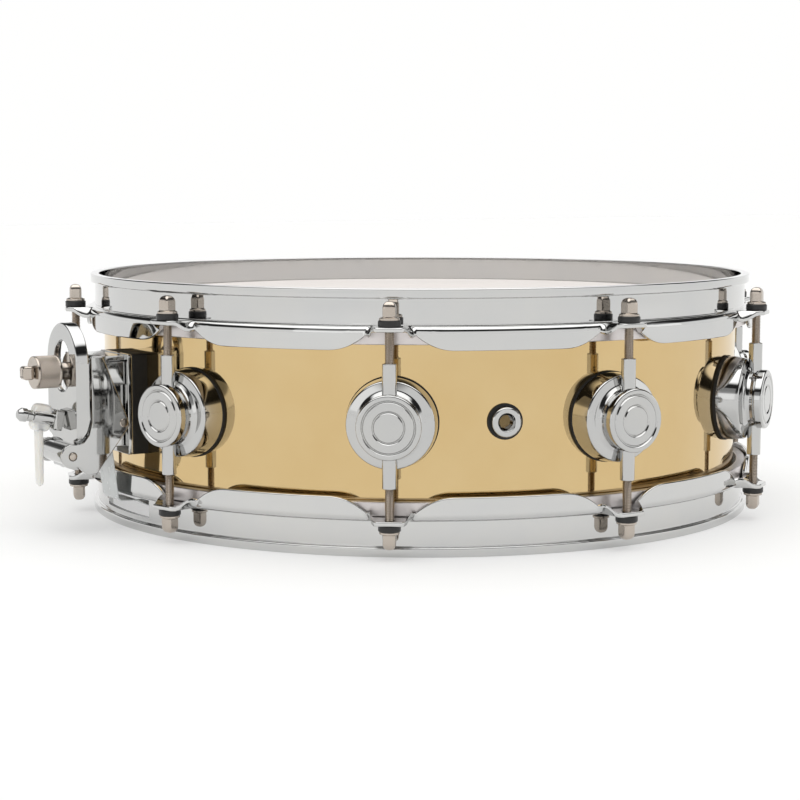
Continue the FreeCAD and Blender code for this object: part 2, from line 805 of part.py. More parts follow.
def build_carriage(doc):
    """Sliding carriage: knob block, magnet barrel and strap block in one casting."""
    body = new_body(doc, "strap_carriage")
    back = size("plate_front") + 0.3
    side_block(body, [(back, 44.0), (193.2, 44.0), (193.2, 56.0), (203.0, 62.0), (203.0, 88.4),
                      (back, 88.4)], 13.0)
    side_block(body, [(back, 76.5), (201.6, 76.5), (203.0, 78.0), (203.0, 87.0), (201.6, 88.4),
                      (back, 88.4)], 15.2)
    front_disc(body, back, size("barrel_front") - back, size("barrel_radius"), size("barrel_height"))
    front_cut(body, 191.0, 14.0, size("screw_radius") + 0.05, size("knob_height"))
    front_cut(body, 207.0, 3.0, 6.0, size("barrel_height"))
    front_cut(body, 189.0, 5.0, 1.5, 50.0, offset=7.5)
    return body


def build_magnet(doc):
    body = new_body(doc, "catch_magnet")
    front_disc(body, 207.0, 5.2, 6.0, size("barrel_height"))
    return body


def build_adjuster(doc):
    """Knurled knob on a screw with a square end, a washer, and the spring behind it."""
    height = size("knob_height")
    back, front = size("knob_back"), size("knob_front")
    screw = new_body(doc, "adjuster_screw")
    front_disc(screw, 192.0, front - 192.0, size("screw_radius"), height)
    nub = new_sketch(screw, "YZ_Plane", lift=-front)
    rectangle(nub, -3.5, 3.5, height - 3.5, height + 3.5)
    pad(screw, nub, 6.2, back=True)
    knob = new_body(doc, "adjuster_knob")
    front_disc(knob, back, front - back, size("knob_radius"), height, size("screw_radius"))
    front_disc(knob, 212.6, back - 212.6, 4.6, height, size("screw_radius"))
    washer = new_body(doc, "adjuster_washer")
    front_disc(washer, 211.2, 1.4, 9.6, height, size("screw_radius"))
    spring = new_body(doc, "adjuster_spring")
    front_disc(spring, 203.1, 8.0, 4.6, height, 3.4)


def build_strap_clamp(doc):
    plate = new_body(doc, "strap_clamp")
    strap_front = as_size(193.2) + size("strap_thick")
    side_block(plate, box_outline(strap_front, strap_front + 2.0, 45.0, 55.0), 12.0)
    front_cut(plate, strap_front - 0.5, 4, 1.5, 50.0, offset=7.5)
    screws = new_body(doc, "strap_clamp_screws")
    front_disc(screws, 189.5, strap_front + 2.0 - 189.5, 1.5, 50.0, offset=7.5)
    front_disc(screws, strap_front + 2.0, 1.8, 2.8, 50.0, offset=7.5)


def build_mount_screws(doc):
    """Screws from inside the shell into the strainer's back plate and into the butt block."""
    body = new_body(doc, "mount_screws")
    inside = size("shell_radius") - size("shell_wall")
    for height in MOUNT_SCREW_HEIGHTS:
        front_disc(body, inside - 0.1, 11.6, size("lug_screw_radius"), height)
        front_disc(body, inside - 2.7, 2.6, 4.0, height)
    for height in BUTT_SCREW_HEIGHTS:
        shank = new_sketch(body, "YZ_Plane", lift=inside - 0.1)
        circle(shank, 0, height, size("lug_screw_radius"))
        pad(body, shank, 10.0)
        head = new_sketch(body, "YZ_Plane", lift=inside - 2.7)
        circle(head, 0, height, 4.0)
        pad(body, head, 2.6)
    return body


# ---- butt plate ----------------------------------------------------------------------------------
# The butt plate is built at -X like the strainer, then turned half way round to +X.

def half_turn(*bodies):
    for body in bodies:
        body.Placement = Placement(Vector(), Rotation(Vector(0, 0, 1), 180))


def build_butt(doc):
    shell = size("shell_radius")
    spacer = new_body(doc, "butt_spacer")
    side_block(spacer, box_outline(shell - 2, 181.0, 40.0, 74.0), 17.0)
    for height in BUTT_SCREW_HEIGHTS:
        front_cut(spacer, shell - 3, 8, size("lug_screw_radius"), height)
    clear_shell(spacer, shell)
    block = new_body(doc, "butt_block")
    side_block(block, [(181.0, 41.0), (192.0, 41.0), (193.2, 42.2), (193.2, 60.0), (190.0, 70.0),
                       (187.0, 73.0), (181.0, 73.0)], 16.0)
    for height in BUTT_SCREW_HEIGHTS:
        front_cut(block, 180.0, 6, size("lug_screw_radius"), height)
    front_cut(block, 189.0, 5.0, 1.5, 50.0, offset=7.5)
    plate = new_body(doc, "butt_clamp")
    strap_front = as_size(193.2) + size("strap_thick")
    side_block(plate, box_outline(strap_front, strap_front + 2.4, 44.0, 56.0), 13.0)
    front_cut(plate, strap_front - 0.5, 4, 1.5, 50.0, offset=7.5)
    screws = new_body(doc, "butt_clamp_screws")
    front_disc(screws, 189.5, strap_front + 2.4 - 189.5, 1.5, 50.0, offset=7.5)
    front_disc(screws, strap_front + 2.4, 2.0, 3.0, 50.0, offset=7.5)
    half_turn(spacer, block, plate, screws)


# ---- snares --------------------------------------------------------------------------------------

def build_strap(doc, name):
    """Strap: under the end plate, up through the hoop's gate, round the skirt, up to the clamp."""
    body = new_body(doc, name)
    thick = size("strap_thick")
    under = size("strand_height") - 1.0
    route = [
        (152.0, under), (174.0, under), (179.6, 14.9), (189.0, 15.2), (190.2, 16.6),
        (193.2, 42.0), (193.2, 55.6)]
    back = [
        (193.2, 55.6), (193.2, 42.0), (190.2, 16.6), (189.0, 14.8), (179.6, 14.5), (174.0, under),
        (152.0, under)]
    outline = [(reach, as_size(height)) for reach, height in route]
    for reach, height in back:
        if reach > 189.5:
            outline.append((as_size(reach) + thick, as_size(height)))
        else:
            outline.append((reach, as_size(height) - thick))
    side_block(body, outline, size("strap_half"))
    front_cut(body, 190.0, 6.0, 1.6, 50.0, offset=7.5)
    return body


def build_snares(doc):
    strands = new_body(doc, "snare_strands")
    pitch = size("strand_pitch")
    first = pitch * (-(SIZES["strand_count"] - 1) / 2)
    sketch = new_sketch(strands, "YZ_Plane")
    for index in range(SIZES["strand_count"]):
        circle(sketch, first + pitch * index, size("strand_height"), size("strand_radius"))
    pad(strands, sketch, size("strand_half") * 2, both=True)
    plates = new_body(doc, "snare_end_plates")
    half = size("strand_half")
    width = -first + 2.0
    low = size("strand_height") - 1.0
    for start in (half, -half - 11.0):
        sketch = new_sketch(plates, "XZ_Plane")
        rectangle(sketch, start, start + 11.0, low, low + 1.9)
        pad(plates, sketch, width * 2, both=True)


# ---- whole drum ----------------------------------------------------------------------------------

def build_drum(doc):
    build_shell(doc)
    build_head(doc, "batter_head", False)
    build_head(doc, "snare_head", True)
    build_flesh_hoop(doc, "batter_flesh_hoop", False)
    build_flesh_hoop(doc, "snare_flesh_hoop", True)
    build_counter_hoop(doc, "batter_hoop", False)
    build_counter_hoop(doc, "snare_hoop", True)
    for number in range(SIZES["lug_count"]):
        build_rod(doc, f"batter_rod_{number:02d}", number, False)
        build_rod(doc, f"snare_rod_{number:02d}", number, True)
    build_rod_washers(doc)
    build_lug_seats(doc)
    build_lug_turrets(doc)
    build_lug_tubes(doc)
    build_lug_screws(doc)
    build_lug_screw_washers(doc)
    build_vent(doc)
    build_strainer_spacer(doc)
    build_strainer_base(doc)
    build_lever(doc)
    build_lever_pin(doc)
    build_keeper(doc)
    build_carriage(doc)
    build_magnet(doc)
    build_adjuster(doc)
    build_strap_clamp(doc)
    build_mount_screws(doc)
    build_key(doc)
    build_butt(doc)
    build_snares(doc)
    build_strap(doc, "strainer_strap")
    half_turn(build_strap(doc, "butt_strap"))


KEY_NODES = ("key_socket", "key_grip")


def sub_parts(doc):
    bodies = [item for item in doc.Objects if item.TypeId == "PartDesign::Body"]
    return bodies + [doc.getObject(name) for name in KEY_NODES]


def check(doc):
    for item in doc.Objects:
        if "Invalid" in item.State or "Error" in item.State:
            raise RuntimeError(f"{item.Label}: {item.State}")
    for item in sub_parts(doc):
        if item.Shape.isNull() or not item.Shape.isValid():
            raise RuntimeError(f"{item.Label}: bad shape")


def main():
    doc = FreeCAD.newDocument("snare_drum")
    make_sheet(doc)
    build_drum(doc)
    doc.recompute()
    check(doc)
    os.makedirs("parts", exist_ok=True)
    for item in sub_parts(doc):
        item.Shape.exportStep(f"parts/{item.Label}.step")
        print(f"{item.Label}: {len(item.Shape.Solids)} solids, {item.Shape.Volume:.0f} cubic mm")


main()
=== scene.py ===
import math

import bpy
import numpy as np
from bpy.props import FloatProperty, FloatVectorProperty, IntProperty, PointerProperty
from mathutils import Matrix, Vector
from mathutils.geometry import tessellate_polygon


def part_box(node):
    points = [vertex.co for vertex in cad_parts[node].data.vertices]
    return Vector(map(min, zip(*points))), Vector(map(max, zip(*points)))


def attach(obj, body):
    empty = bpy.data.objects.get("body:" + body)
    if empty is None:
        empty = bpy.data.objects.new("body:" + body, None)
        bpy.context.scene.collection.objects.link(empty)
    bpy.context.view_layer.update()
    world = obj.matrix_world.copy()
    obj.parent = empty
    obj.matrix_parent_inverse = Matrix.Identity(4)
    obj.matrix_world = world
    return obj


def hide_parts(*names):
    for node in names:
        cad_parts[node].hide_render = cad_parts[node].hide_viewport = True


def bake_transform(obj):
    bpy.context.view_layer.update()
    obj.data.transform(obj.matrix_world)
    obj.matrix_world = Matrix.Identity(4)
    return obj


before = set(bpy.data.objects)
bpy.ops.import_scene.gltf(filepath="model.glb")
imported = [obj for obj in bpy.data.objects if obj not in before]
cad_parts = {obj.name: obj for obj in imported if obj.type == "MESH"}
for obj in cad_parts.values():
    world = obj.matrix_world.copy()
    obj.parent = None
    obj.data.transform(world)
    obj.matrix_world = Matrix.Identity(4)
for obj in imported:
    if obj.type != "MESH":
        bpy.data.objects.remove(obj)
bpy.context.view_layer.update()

bl_info = {
    "name": "Metal Snare Drum",
    "version": (1, 0, 0),
    "blender": (4, 5, 0),
    "location": "View3D > Sidebar > Snare Drum",
    "description": "Surfaces and finishes of a brass snare drum with turret lugs and a throw-off",
    "category": "Object",
}

MM = 0.001
QUARTER = math.pi / 2
SHARP = math.radians(40)
GAP = 0.02 * MM
PIN_BORE = 2.05 * MM
CAMERA_PLACE = (-0.5944, -0.9582, 0.1839)
CAMERA_LOOK = (0.5155, 0.8494, -0.1129)


def mm(*values):
    """Millimetres to metres, as an array."""
    return np.array(values, float) * MM


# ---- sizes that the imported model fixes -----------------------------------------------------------

def middle_of(node):
    lo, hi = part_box(node)
    return (lo + hi) / 2


def turn_of(node):
    """Angle of a node about the drum's axis, from -Y towards +X."""
    centre = middle_of(node)
    return math.atan2(centre.x, -centre.y)


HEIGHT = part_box("batter_hoop")[1].z
MIDDLE = HEIGHT / 2
ROD_TURNS = np.array([turn_of(f"batter_rod_{k:02d}") for k in range(10)])
ROD_REACH = middle_of("batter_rod_00").xy.length
SHELL_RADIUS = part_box("shell")[1].x
VENT_TURN = turn_of("vent_grommet")
STRAP_MIDDLE = middle_of("strap_clamp").z
KNOB_HEIGHT = middle_of("adjuster_knob").z
BARREL_HEIGHT = middle_of("lever_keeper").z


# ---- surfaces ------------------------------------------------------------------------------------
# A surface is an array of points and a list of face arrays of three or four corners.

def smooth(x):
    """Runs from 0 to 1 with level ends: 3x squared less 2x cubed, held outside 0..1."""
    x = np.clip(x, 0, 1)
    return x * x * (3 - 2 * x)


def grid(points, wrap_u=False, wrap_v=False):
    """Four-sided faces over rows and columns of points; a wrapped direction joins its ends."""
    rows, cols = points.shape[:2]
    ids = np.arange(rows * cols).reshape(rows, cols)
    if wrap_u:
        ids = np.vstack([ids, ids[:1]])
    if wrap_v:
        ids = np.hstack([ids, ids[:, :1]])
    quads = np.stack([ids[:-1, :-1], ids[1:, :-1], ids[1:, 1:], ids[:-1, 1:]], axis=-1)
    return points.reshape(-1, 3), [quads.reshape(-1, 4)]


def thick_sheet(outer, inner, keep):
    """Two matching grids, closed round the drum, as the faces of one sheet.  Where keep is false
    both lose a face, and every bare edge is joined to the one behind it."""
    rows, cols = outer.shape[:2]
    ids = np.arange(rows * cols).reshape(rows, cols)
    ids = np.vstack([ids, ids[:1]])
    corners = np.stack([ids[:-1, :-1], ids[1:, :-1], ids[1:, 1:], ids[:-1, 1:]], axis=-1)
    back = rows * cols
    faces = [corners[keep], corners[keep][:, ::-1] + back]
    bare = np.pad(keep, ((0, 0), (1, 1)))
    neighbours = [bare[:, :-2], np.roll(keep, -1, axis=0), bare[:, 2:], np.roll(keep, 1, axis=0)]
    for side, beside in enumerate(neighbours):
        edge = corners[keep & ~beside]
        first, second = edge[:, side], edge[:, (side + 1) % 4]
        faces.append(np.stack([second, first, first + back, second + back], axis=-1))
    return np.concatenate([outer.reshape(-1, 3), inner.reshape(-1, 3)]), faces


def rounded(points, radii, steps=5, closed=False):
    """A line whose corners are arcs: each arc starts and ends the same distance from its corner,
    which is the radius times the tangent of half the turn, and at most 0.45 of the shorter side."""
    points = np.asarray(points, float)
    radii = np.broadcast_to(np.asarray(radii, float), len(points)).copy()
    before = np.roll(points, 1, axis=0) - points
    after = np.roll(points, -1, axis=0) - points
    if not closed:
        before[0], after[-1] = -after[0], -before[-1]
        radii[[0, -1]] = 0
    reach_in, reach_out = np.linalg.norm(before, axis=1), np.linalg.norm(after, axis=1)
    a, b = before / reach_in[:, None], after / reach_out[:, None]
    half = np.arccos(np.clip((a * b).sum(axis=1), -1, 1)) / 2
    tangent = np.minimum(radii / np.tan(half), 0.45 * np.minimum(reach_in, reach_out))
    radius = tangent * np.tan(half)
    middle = a + b
    size = np.linalg.norm(middle, axis=1)
    sharp = (radius < 1e-9) | (size < 1e-9)
    middle = middle / np.where(sharp, 1, size)[:, None]
    centre = points + middle * (radius / np.sin(half))[:, None]
    start, end = points + a * tangent[:, None] - centre, points + b * tangent[:, None] - centre
    share = np.linspace(0, 1, steps)[None, :, None]
    sweep = (math.pi - 2 * half)[:, None, None]
    bend = np.where(sweep < 1e-6, 1, np.sin(sweep))
    arc = centre[:, None] + (np.sin((1 - share) * sweep) * start[:, None]
                             + np.sin(share * sweep) * end[:, None]) / bend
    arc = np.where(sharp[:, None, None], points[:, None], arc)
    used = np.ones((len(points), steps), bool)
    used[sharp, 1:] = False
    return arc[used]


def lathe(profile, segments=96, ring=False):
    """A profile of (radius, height) turned about Z.  A ring's profile closes on itself; any other
    starts and ends on the axis."""
    turn = np.linspace(0, 2 * math.pi, segments, endpoint=False)[:, None]
    radius, height = np.asarray(profile, float).T
    points = np.stack([radius * np.cos(turn), radius * np.sin(turn), height + 0 * turn], axis=-1)
    return grid(points, wrap_u=True, wrap_v=ring)


def ring(inner, outer, low, high, edge, segments=96):
    """A turned ring of rectangular section with rounded edges."""
    section = [(inner, low), (outer, low), (outer, high), (inner, high)]
    return lathe(rounded(section, edge, closed=True), segments, ring=True)


def inset(loop, distance):
    """Moves a closed outline to its left: each corner goes along the mean of its two sides'
    normals, by the distance over the cosine of half the turn."""
    side = np.roll(loop, -1, axis=0) - loop
    side /= np.linalg.norm(side, axis=1)[:, None]
    normal = np.stack([-side[:, 1], side[:, 0]], axis=-1)
    last = np.roll(normal, 1, axis=0)
    return loop + distance * (normal + last) / (1 + (normal * last).sum(axis=1))[:, None]


def anticlockwise(loop):
    nxt = np.roll(loop, -1, axis=0)
    area = (loop[:, 0] * nxt[:, 1] - nxt[:, 0] * loop[:, 1]).sum()
    return loop if area > 0 else loop[::-1]


def plate(outline, low, high, bevel=0.0, holes=(), low_bevel=None, steps=4):
    """An outline raised from low to high with quarter-round edges: each ring of points is the
    outline moved inwards by bevel times (1 - sine) at bevel times (1 - cosine) below the face."""
    low_bevel = bevel if low_bevel is None else low_bevel
    loops = [anticlockwise(np.asarray(outline, float))]
    loops += [anticlockwise(np.asarray(hole, float))[::-1] for hole in holes]
    angle = np.linspace(0, QUARTER, steps)
    rings = [(low_bevel * (1 - math.sin(t)), low + low_bevel * (1 - math.cos(t))) for t in angle]
    rings += [(bevel * (1 - math.sin(t)), high - bevel * (1 - math.cos(t))) for t in angle[::-1]]
    parts, caps, start = [], [], 0
    for loop in loops:
        flat = np.stack([inset(loop, back) for back, height in rings], axis=1)
        level = np.broadcast_to([height for back, height in rings], flat.shape[:2])
        points = np.concatenate([flat, level[..., None]], axis=-1)
        parts.append(grid(points, wrap_u=True))
        caps.append((points, start))
        start += points.shape[0] * points.shape[1]
    verts, faces = join(*parts)
    for column, turned in ((0, True), (-1, False)):
        loops_3d = [[Vector(p) for p in points[:, column]] for points, first in caps]
        ids = np.concatenate([first + np.arange(points.shape[0]) * points.shape[1]
                              + (column % points.shape[1]) for points, first in caps])
        fill = ids[np.array(tessellate_polygon(loops_3d))]
        corner = verts[fill]
        up = np.cross(corner[:, 1] - corner[:, 0], corner[:, 2] - corner[:, 0])[:, 2]
        wrong = (up > 0) if turned else (up < 0)
        fill[wrong] = fill[wrong][:, ::-1]
        faces.append(fill)
    return verts, faces


def circle(x, y, radius, count=48, start=0.0, end=2 * math.pi):
    """Points round a circle, or along an arc of it with both ends."""
    whole = abs(end - start - 2 * math.pi) < 1e-9
    turn = np.linspace(start, end, count, endpoint=not whole)
    return np.stack([x + radius * np.cos(turn), y + radius * np.sin(turn)], axis=-1)


def box_loop(x0, x1, y0, y1, corner, count=4):
    """A rectangle with rounded corners."""
    return rounded([(x0, y0), (x1, y0), (x1, y1), (x0, y1)], corner, count, closed=True)


def square(half, corner):
    """A square about the origin with rounded corners."""
    return box_loop(-half, half, -half, half, corner)


def join(*surfaces):
    """Several surfaces as one."""
    verts, faces, start = [], [], 0
    for points, lists in surfaces:
        verts.append(points)
        faces += [f + start for f in lists]
        start += len(points)
    return np.concatenate(verts), faces


def moved(surface, rows, origin=(0, 0, 0)):
    """Each new coordinate is a row's sum of the old ones, then the origin is added."""
    return surface[0] @ np.asarray(rows, float).T + np.asarray(origin, float), surface[1]


# lathe or plate axes -> drum axes at -Y (lugs), at -X (strainer) and along the strainer's width
AT_LUG = ((1, 0, 0), (0, 0, -1), (0, 1, 0))
AT_STRAINER = ((0, 0, -1), (-1, 0, 0), (0, 1, 0))
ACROSS_STRAINER = ((-1, 0, 0), (0, 0, -1), (0, 1, 0))


def spun(surface, turns):
    """Copies turned about the drum's axis: x cos - y sin and x sin + y cos."""
    points, lists = surface
    turns = np.atleast_1d(turns)
    c, s = np.cos(turns)[:, None], np.sin(turns)[:, None]
    x, y, z = points.T
    copies = np.stack([x * c - y * s, x * s + y * c, z + 0 * c], axis=-1).reshape(-1, 3)
    shift = (np.arange(len(turns)) * len(points))[:, None, None]
    return copies, [(f[None] + shift).reshape(-1, f.shape[1]) for f in lists]


def turned_over(surface):
    """The snare side: half a turn about X at the drum's middle height."""
    return surface[0] * (1, -1, -1) + (0, 0, HEIGHT), surface[1]


def both_sides(surface):
    """A surface of the batter side, and the same on the snare side."""
    return join(surface, turned_over(surface))


def outward(surface):
    """Turns all faces round if the volume that they close is negative: the sum over triangles
    fanned from each face's first corner of a . (b x c)."""
    points, lists = surface
    volume = 0.0
    for f in lists:
        for k in range(1, f.shape[1] - 1):
            a, b, c = points[f[:, 0]], points[f[:, k]], points[f[:, k + 1]]
            volume += float((a * np.cross(b, c)).sum())
    return (points, [f[:, ::-1] for f in lists]) if volume < 0 else surface


def welded(surface):
    """Merges points at one place, so that poles close, and drops the sides that vanish."""
    points, lists = surface
    keys = np.round(points / 1e-7).astype(np.int64)
    first, back = np.unique(keys, axis=0, return_index=True, return_inverse=True)[1:]
    done = []
    for f in lists:
        f = back.reshape(-1)[f]
        same = f == np.roll(f, -1, axis=1)
        done.append(f[~same.any(axis=1)])
        if f.shape[1] == 4:
            once = same.sum(axis=1) == 1
            done.append(f[once][~same[once]].reshape(-1, 3))
    return points[first], [f for f in done if len(f)]


def piece(name, surface, material, nodes, body="drum", soften=True):
    """A mesh object from a surface, riding on a body in place of the CAD nodes named."""
    points, lists = welded(outward(surface))
    mesh = bpy.data.meshes.new(name)
    loops = np.concatenate([f.ravel() for f in lists]).astype(np.int32)
    sizes = np.concatenate([np.full(len(f), f.shape[1]) for f in lists])
    mesh.vertices.add(len(points))
    mesh.vertices.foreach_set("co", points.astype(np.float32).ravel())
    mesh.loops.add(len(loops))
    mesh.loops.foreach_set("vertex_index", loops)
    mesh.polygons.add(len(sizes))
    starts = np.concatenate([[0], np.cumsum(sizes)[:-1]]).astype(np.int32)
    mesh.polygons.foreach_set("loop_start", starts)
    mesh.update(calc_edges=True)
    mesh.polygons.foreach_set("use_smooth", np.ones(len(sizes), bool))
    mesh.set_sharp_from_angle(angle=SHARP)
    mesh.materials.append(material)
    made = bpy.data.objects.new(name, mesh)
    bpy.context.scene.collection.objects.link(made)
    if soften:
        weight = made.modifiers.new("Flat faces stay flat", "WEIGHTED_NORMAL")
        weight.weight = 80
        weight.keep_sharp = True
    if body:
        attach(made, body)
    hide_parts(*nodes)
    return made


def finish_cad(material, *nodes):
    """Gives CAD nodes that keep their own shape a finish."""
    for node_name in nodes:
        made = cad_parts[node_name]
        for place in made.material_slots:
            place.material = material
        if not made.material_slots:
            made.data.materials.append(material)


# ---- finishes ------------------------------------------------------------------------------------

def linear(code):
    """sRGB hex to linear: below 0.04045 a straight line, above it a 2.4 power."""
    value = np.array([int(code[k:k + 2], 16) for k in (1, 3, 5)]) / 255
    return tuple(np.where(value <= 0.04045, value / 12.92, ((value + 0.055) / 1.055) ** 2.4))


def add(tree, kind, values=None, links=None, **settings):
    """Adds a node, sets its properties and input values, and links outputs to its inputs."""
    made = tree.nodes.new(kind)
    for key, value in settings.items():
        setattr(made, key, value)
    for key, value in (values or {}).items():
        made.inputs[key].default_value = value
    for key, output in (links or {}).items():
        tree.links.new(output, made.inputs[key])
    return made


def new_material(name, **shader):
    """An empty material with one surface shader, which is returned after the tree."""
    material = bpy.data.materials.new(name)
    material.use_nodes = True
    tree = material.node_tree
    tree.nodes.clear()
    surface = add(tree, "ShaderNodeBsdfPrincipled", shader)
    add(tree, "ShaderNodeOutputMaterial", links={"Surface": surface.outputs["BSDF"]})
    return tree, surface


def noise(tree, coords, size, detail):
    """Noise from 0 to 1 whose patches are about size millimetres across."""
    return add(tree, "ShaderNodeTexNoise", {"Scale": 1 / (size * MM), "Detail": detail},
               {"Vector": coords}).outputs["Fac"]


def toned(tree, surface, colour, tint, drift):
    """The surface's colour, mixed from two by drift."""
    tone = add(tree, "ShaderNodeMix", {6: (*colour, 1), 7: (*tint, 1)}, {0: drift},
               data_type="RGBA")
    tree.links.new(tone.outputs[2], surface.inputs["Base Color"])


def hazed(tree, surface, low, rough, smudge, wipe):
    """Roughness, straight from one value to the other as wipe goes from low to 0.7."""
    haze = add(tree, "ShaderNodeMapRange", {"From Min": low, "From Max": 0.7,
                                            "To Min": rough, "To Max": smudge}, {"Value": wipe})
    tree.links.new(haze.outputs["Result"], surface.inputs["Roughness"])


def bumped(tree, surface, wave, relief):
    """A bump whose height is relief times wave, in millimetres."""
    bump = add(tree, "ShaderNodeBump", {"Strength": 1.0, "Distance": wave * MM},
               {"Height": relief})
    tree.links.new(bump.outputs["Normal"], surface.inputs["Normal"])


def plated(name, colour, tint, rough, smudge, grain, wave):
    """Metal: two tones mixed over about 28 mm, a roughness that drifts between two values over
    about 9 mm, and a fine bump whose size along each axis is given by grain, in millimetres."""
    tree, surface = new_material(name, Metallic=1.0)
    coords = add(tree, "ShaderNodeTexCoord").outputs["Object"]
    toned(tree, surface, colour, tint, noise(tree, coords, 28, 3.0))
    hazed(tree, surface, 0.35, rough, smudge, noise(tree, coords, 9, 4.0))
    stretch = add(tree, "ShaderNodeMapping", {"Scale": [1 / (g * MM) for g in grain]},
                  {"Vector": coords})
    bumped(tree, surface, wave, noise(tree, stretch.outputs["Vector"], 1000, 2.0))
    return surface


def moulded(name, colour, tint, rough, smudge, grain, wave, **shader):
    """Plastic or rubber: two close tones and a roughness that drift over about 6 mm, and a fine
    moulded bump."""
    tree, surface = new_material(name, **shader)
    coords = add(tree, "ShaderNodeTexCoord").outputs["Object"]
    drift = noise(tree, coords, 6, 4.0)
    toned(tree, surface, colour, tint, drift)
    hazed(tree, surface, 0.3, rough, smudge, drift)
    bumped(tree, surface, wave, noise(tree, coords, grain, 3.0))
    return surface


def lacquered(name, colour, tint, rough, smudge, grain, wave):
    """Plated metal's pattern with a clear lacquer over it, which is a little yellow."""
    made = plated(name, colour, tint, rough, smudge, grain, wave)
    made.inputs["Coat Weight"].default_value = 0.25
    made.inputs["Coat Roughness"].default_value = 0.03
    made.inputs["Coat Tint"].default_value = (*linear("#F6E3B4"), 1)


# name: slot, function, colour, second tone, lowest and highest roughness, grain and bump in mm,
# and values for the shader's own sockets
FINISHES = {
    # Spun brass, buffed to a mirror and lacquered: pale gold with amber reflections, a faint
    # haze, and buffing lines round the shell too fine to see except as a soft stretch.
    "Brass, spun, buffed and lacquered": (
        "polished_brass", lacquered, "brass", "brass_deep", 0.035, 0.075, (60.0, 60.0, 1.2),
        0.0012),
    # Rolled steel: a cold mirror with wiping marks in its gloss.
    "Steel, polished and chrome plated": (
        "chrome_steel", plated, "chrome", "chrome_cool", 0.03, 0.07, (40.0, 40.0, 2.0), 0.0010),
    # Die-cast and barrel polished: the mirror waves a little, as castings do.
    "Zinc casting, polished and chrome plated": (
        "chrome_cast", plated, "cast", "cast_cool", 0.04, 0.09, (7.0, 7.0, 7.0), 0.0035),
    # Bright nickel: warmer and softer than chrome, with turning marks.
    "Steel, machined and nickel plated": (
        "nickel_steel", plated, "nickel", "nickel_deep", 0.14, 0.26, (3.0, 3.0, 0.25), 0.0040),
    # Grey with a bluish cast and a dull, mottled shine.
    "Steel, barrel zinc plated": (
        "zinc_steel", plated, "zinc", "zinc_blue", 0.30, 0.46, (0.9, 0.9, 0.9), 0.0080),
    # Extruded and rolled: satin, with drawing lines along its length.
    "Aluminium, rolled and satin": (
        "flesh_aluminium", plated, "aluminium", "aluminium_grey", 0.28, 0.42, (30.0, 30.0, 0.4),
        0.0060),
    # Drawn wire: bright along its top, darker between the turns.
    "Steel for snares, drawn bright": (
        "snare_steel", plated, "wire", "zinc_blue", 0.18, 0.30, (1.0, 1.0, 1.0), 0.0020),
    # Nearly black and dull, with a fine grain from the mould.
    "Rubber, black, moulded": (
        "black_rubber", moulded, "rubber", "#141312", 0.55, 0.72, 0.35, 0.02, {"IOR": 1.5}),
    # Black with a soft sheen and slight flow marks.
    "Nylon, black, injection moulded": (
        "black_nylon", moulded, "nylon", "#191818", 0.32, 0.45, 0.6, 0.008, {"IOR": 1.53}),
    # Unfilled and milky: light spreads about two millimetres inside it, and the surface is waxy.
    "Nylon, white, injection moulded": (
        "white_nylon", moulded, "grip", "#E9E5DC", 0.34, 0.46, 0.8, 0.010,
        {"IOR": 1.53, "Subsurface Weight": 0.6, "Subsurface Scale": 1.0,
         "Subsurface Radius": (2.2 * MM, 2.0 * MM, 1.7 * MM)}),
    # Matt white coating: fine grit that scatters light evenly.  The grit is about 0.1 mm; it is
    # drawn at 0.7 mm so that it shows at all.
    "Polyester film, sprayed white coating": (
        "coated_film", moulded, "film", "#E4DEDA", 0.62, 0.80, 0.7, 0.035, {"IOR": 1.5}),
    # Thin and clear: a hazy see-through skin with a sharp gloss.
    "Polyester film, clear": (
        "clear_film", moulded, "clear_film", "#E6E9EA", 0.08, 0.16, 12.0, 0.02,
        {"IOR": 1.57, "Alpha": 0.42}),
    # Milky and smooth, with a light lengthwise haze.
    "Polyester strip, milky": (
        "strap_film", moulded, "strap", "#C9CCCC", 0.18, 0.30, 3.0, 0.006, {"IOR": 1.57}),
}
BRASS, STEEL_CHROME, CAST_CHROME, NICKEL, ZINC, ALUMINIUM, WIRE = list(FINISHES)[:7]
RUBBER, BLACK_NYLON, WHITE_NYLON, COATED_FILM, CLEAR_FILM, STRAP_FILM = list(FINISHES)[7:]


def finish(name):
    """A finish by name, made the first time that it is asked for."""
    if name not in bpy.data.materials:
        tones = bpy.context.scene.drum_finish
        make, first, second, *numbers = FINISHES[name][1:]
        second = linear(second) if second.startswith("#") else getattr(tones, second)
        values = numbers.pop() if isinstance(numbers[-1], dict) else {}
        make(name, getattr(tones, first), second, *numbers, **values)
    return bpy.data.materials[name]


# ---- settings ------------------------------------------------------------------------------------

def length(name, millimetres, description):
    """A setting that is a length in metres, with its value given in millimetres."""
    return FloatProperty(name=name, description=description, default=millimetres * MM,
                         unit="LENGTH", subtype="DISTANCE", precision=5)


def colour(name, code, description):
    """A setting that is a colour, with its value given as a hex code."""
    return FloatVectorProperty(name=name, description=description, default=linear(code),
                               subtype="COLOR", size=3, min=0, max=1)


class DrumShellSettings(bpy.types.PropertyGroup):
    wall: length("Wall", 1.5, "Thickness of the brass shell")
    inset: length("Edge inset", 3.5, "How far the bearing edge turns inwards")
    edge_round: length("Edge round", 1.2, "Radius where the wall turns into the edge")
    vent_mask: length("Vent opening", 6.3, "Radius of the hole behind the grommet")
    film: length("Film", 0.3, "Thickness of a head's film")


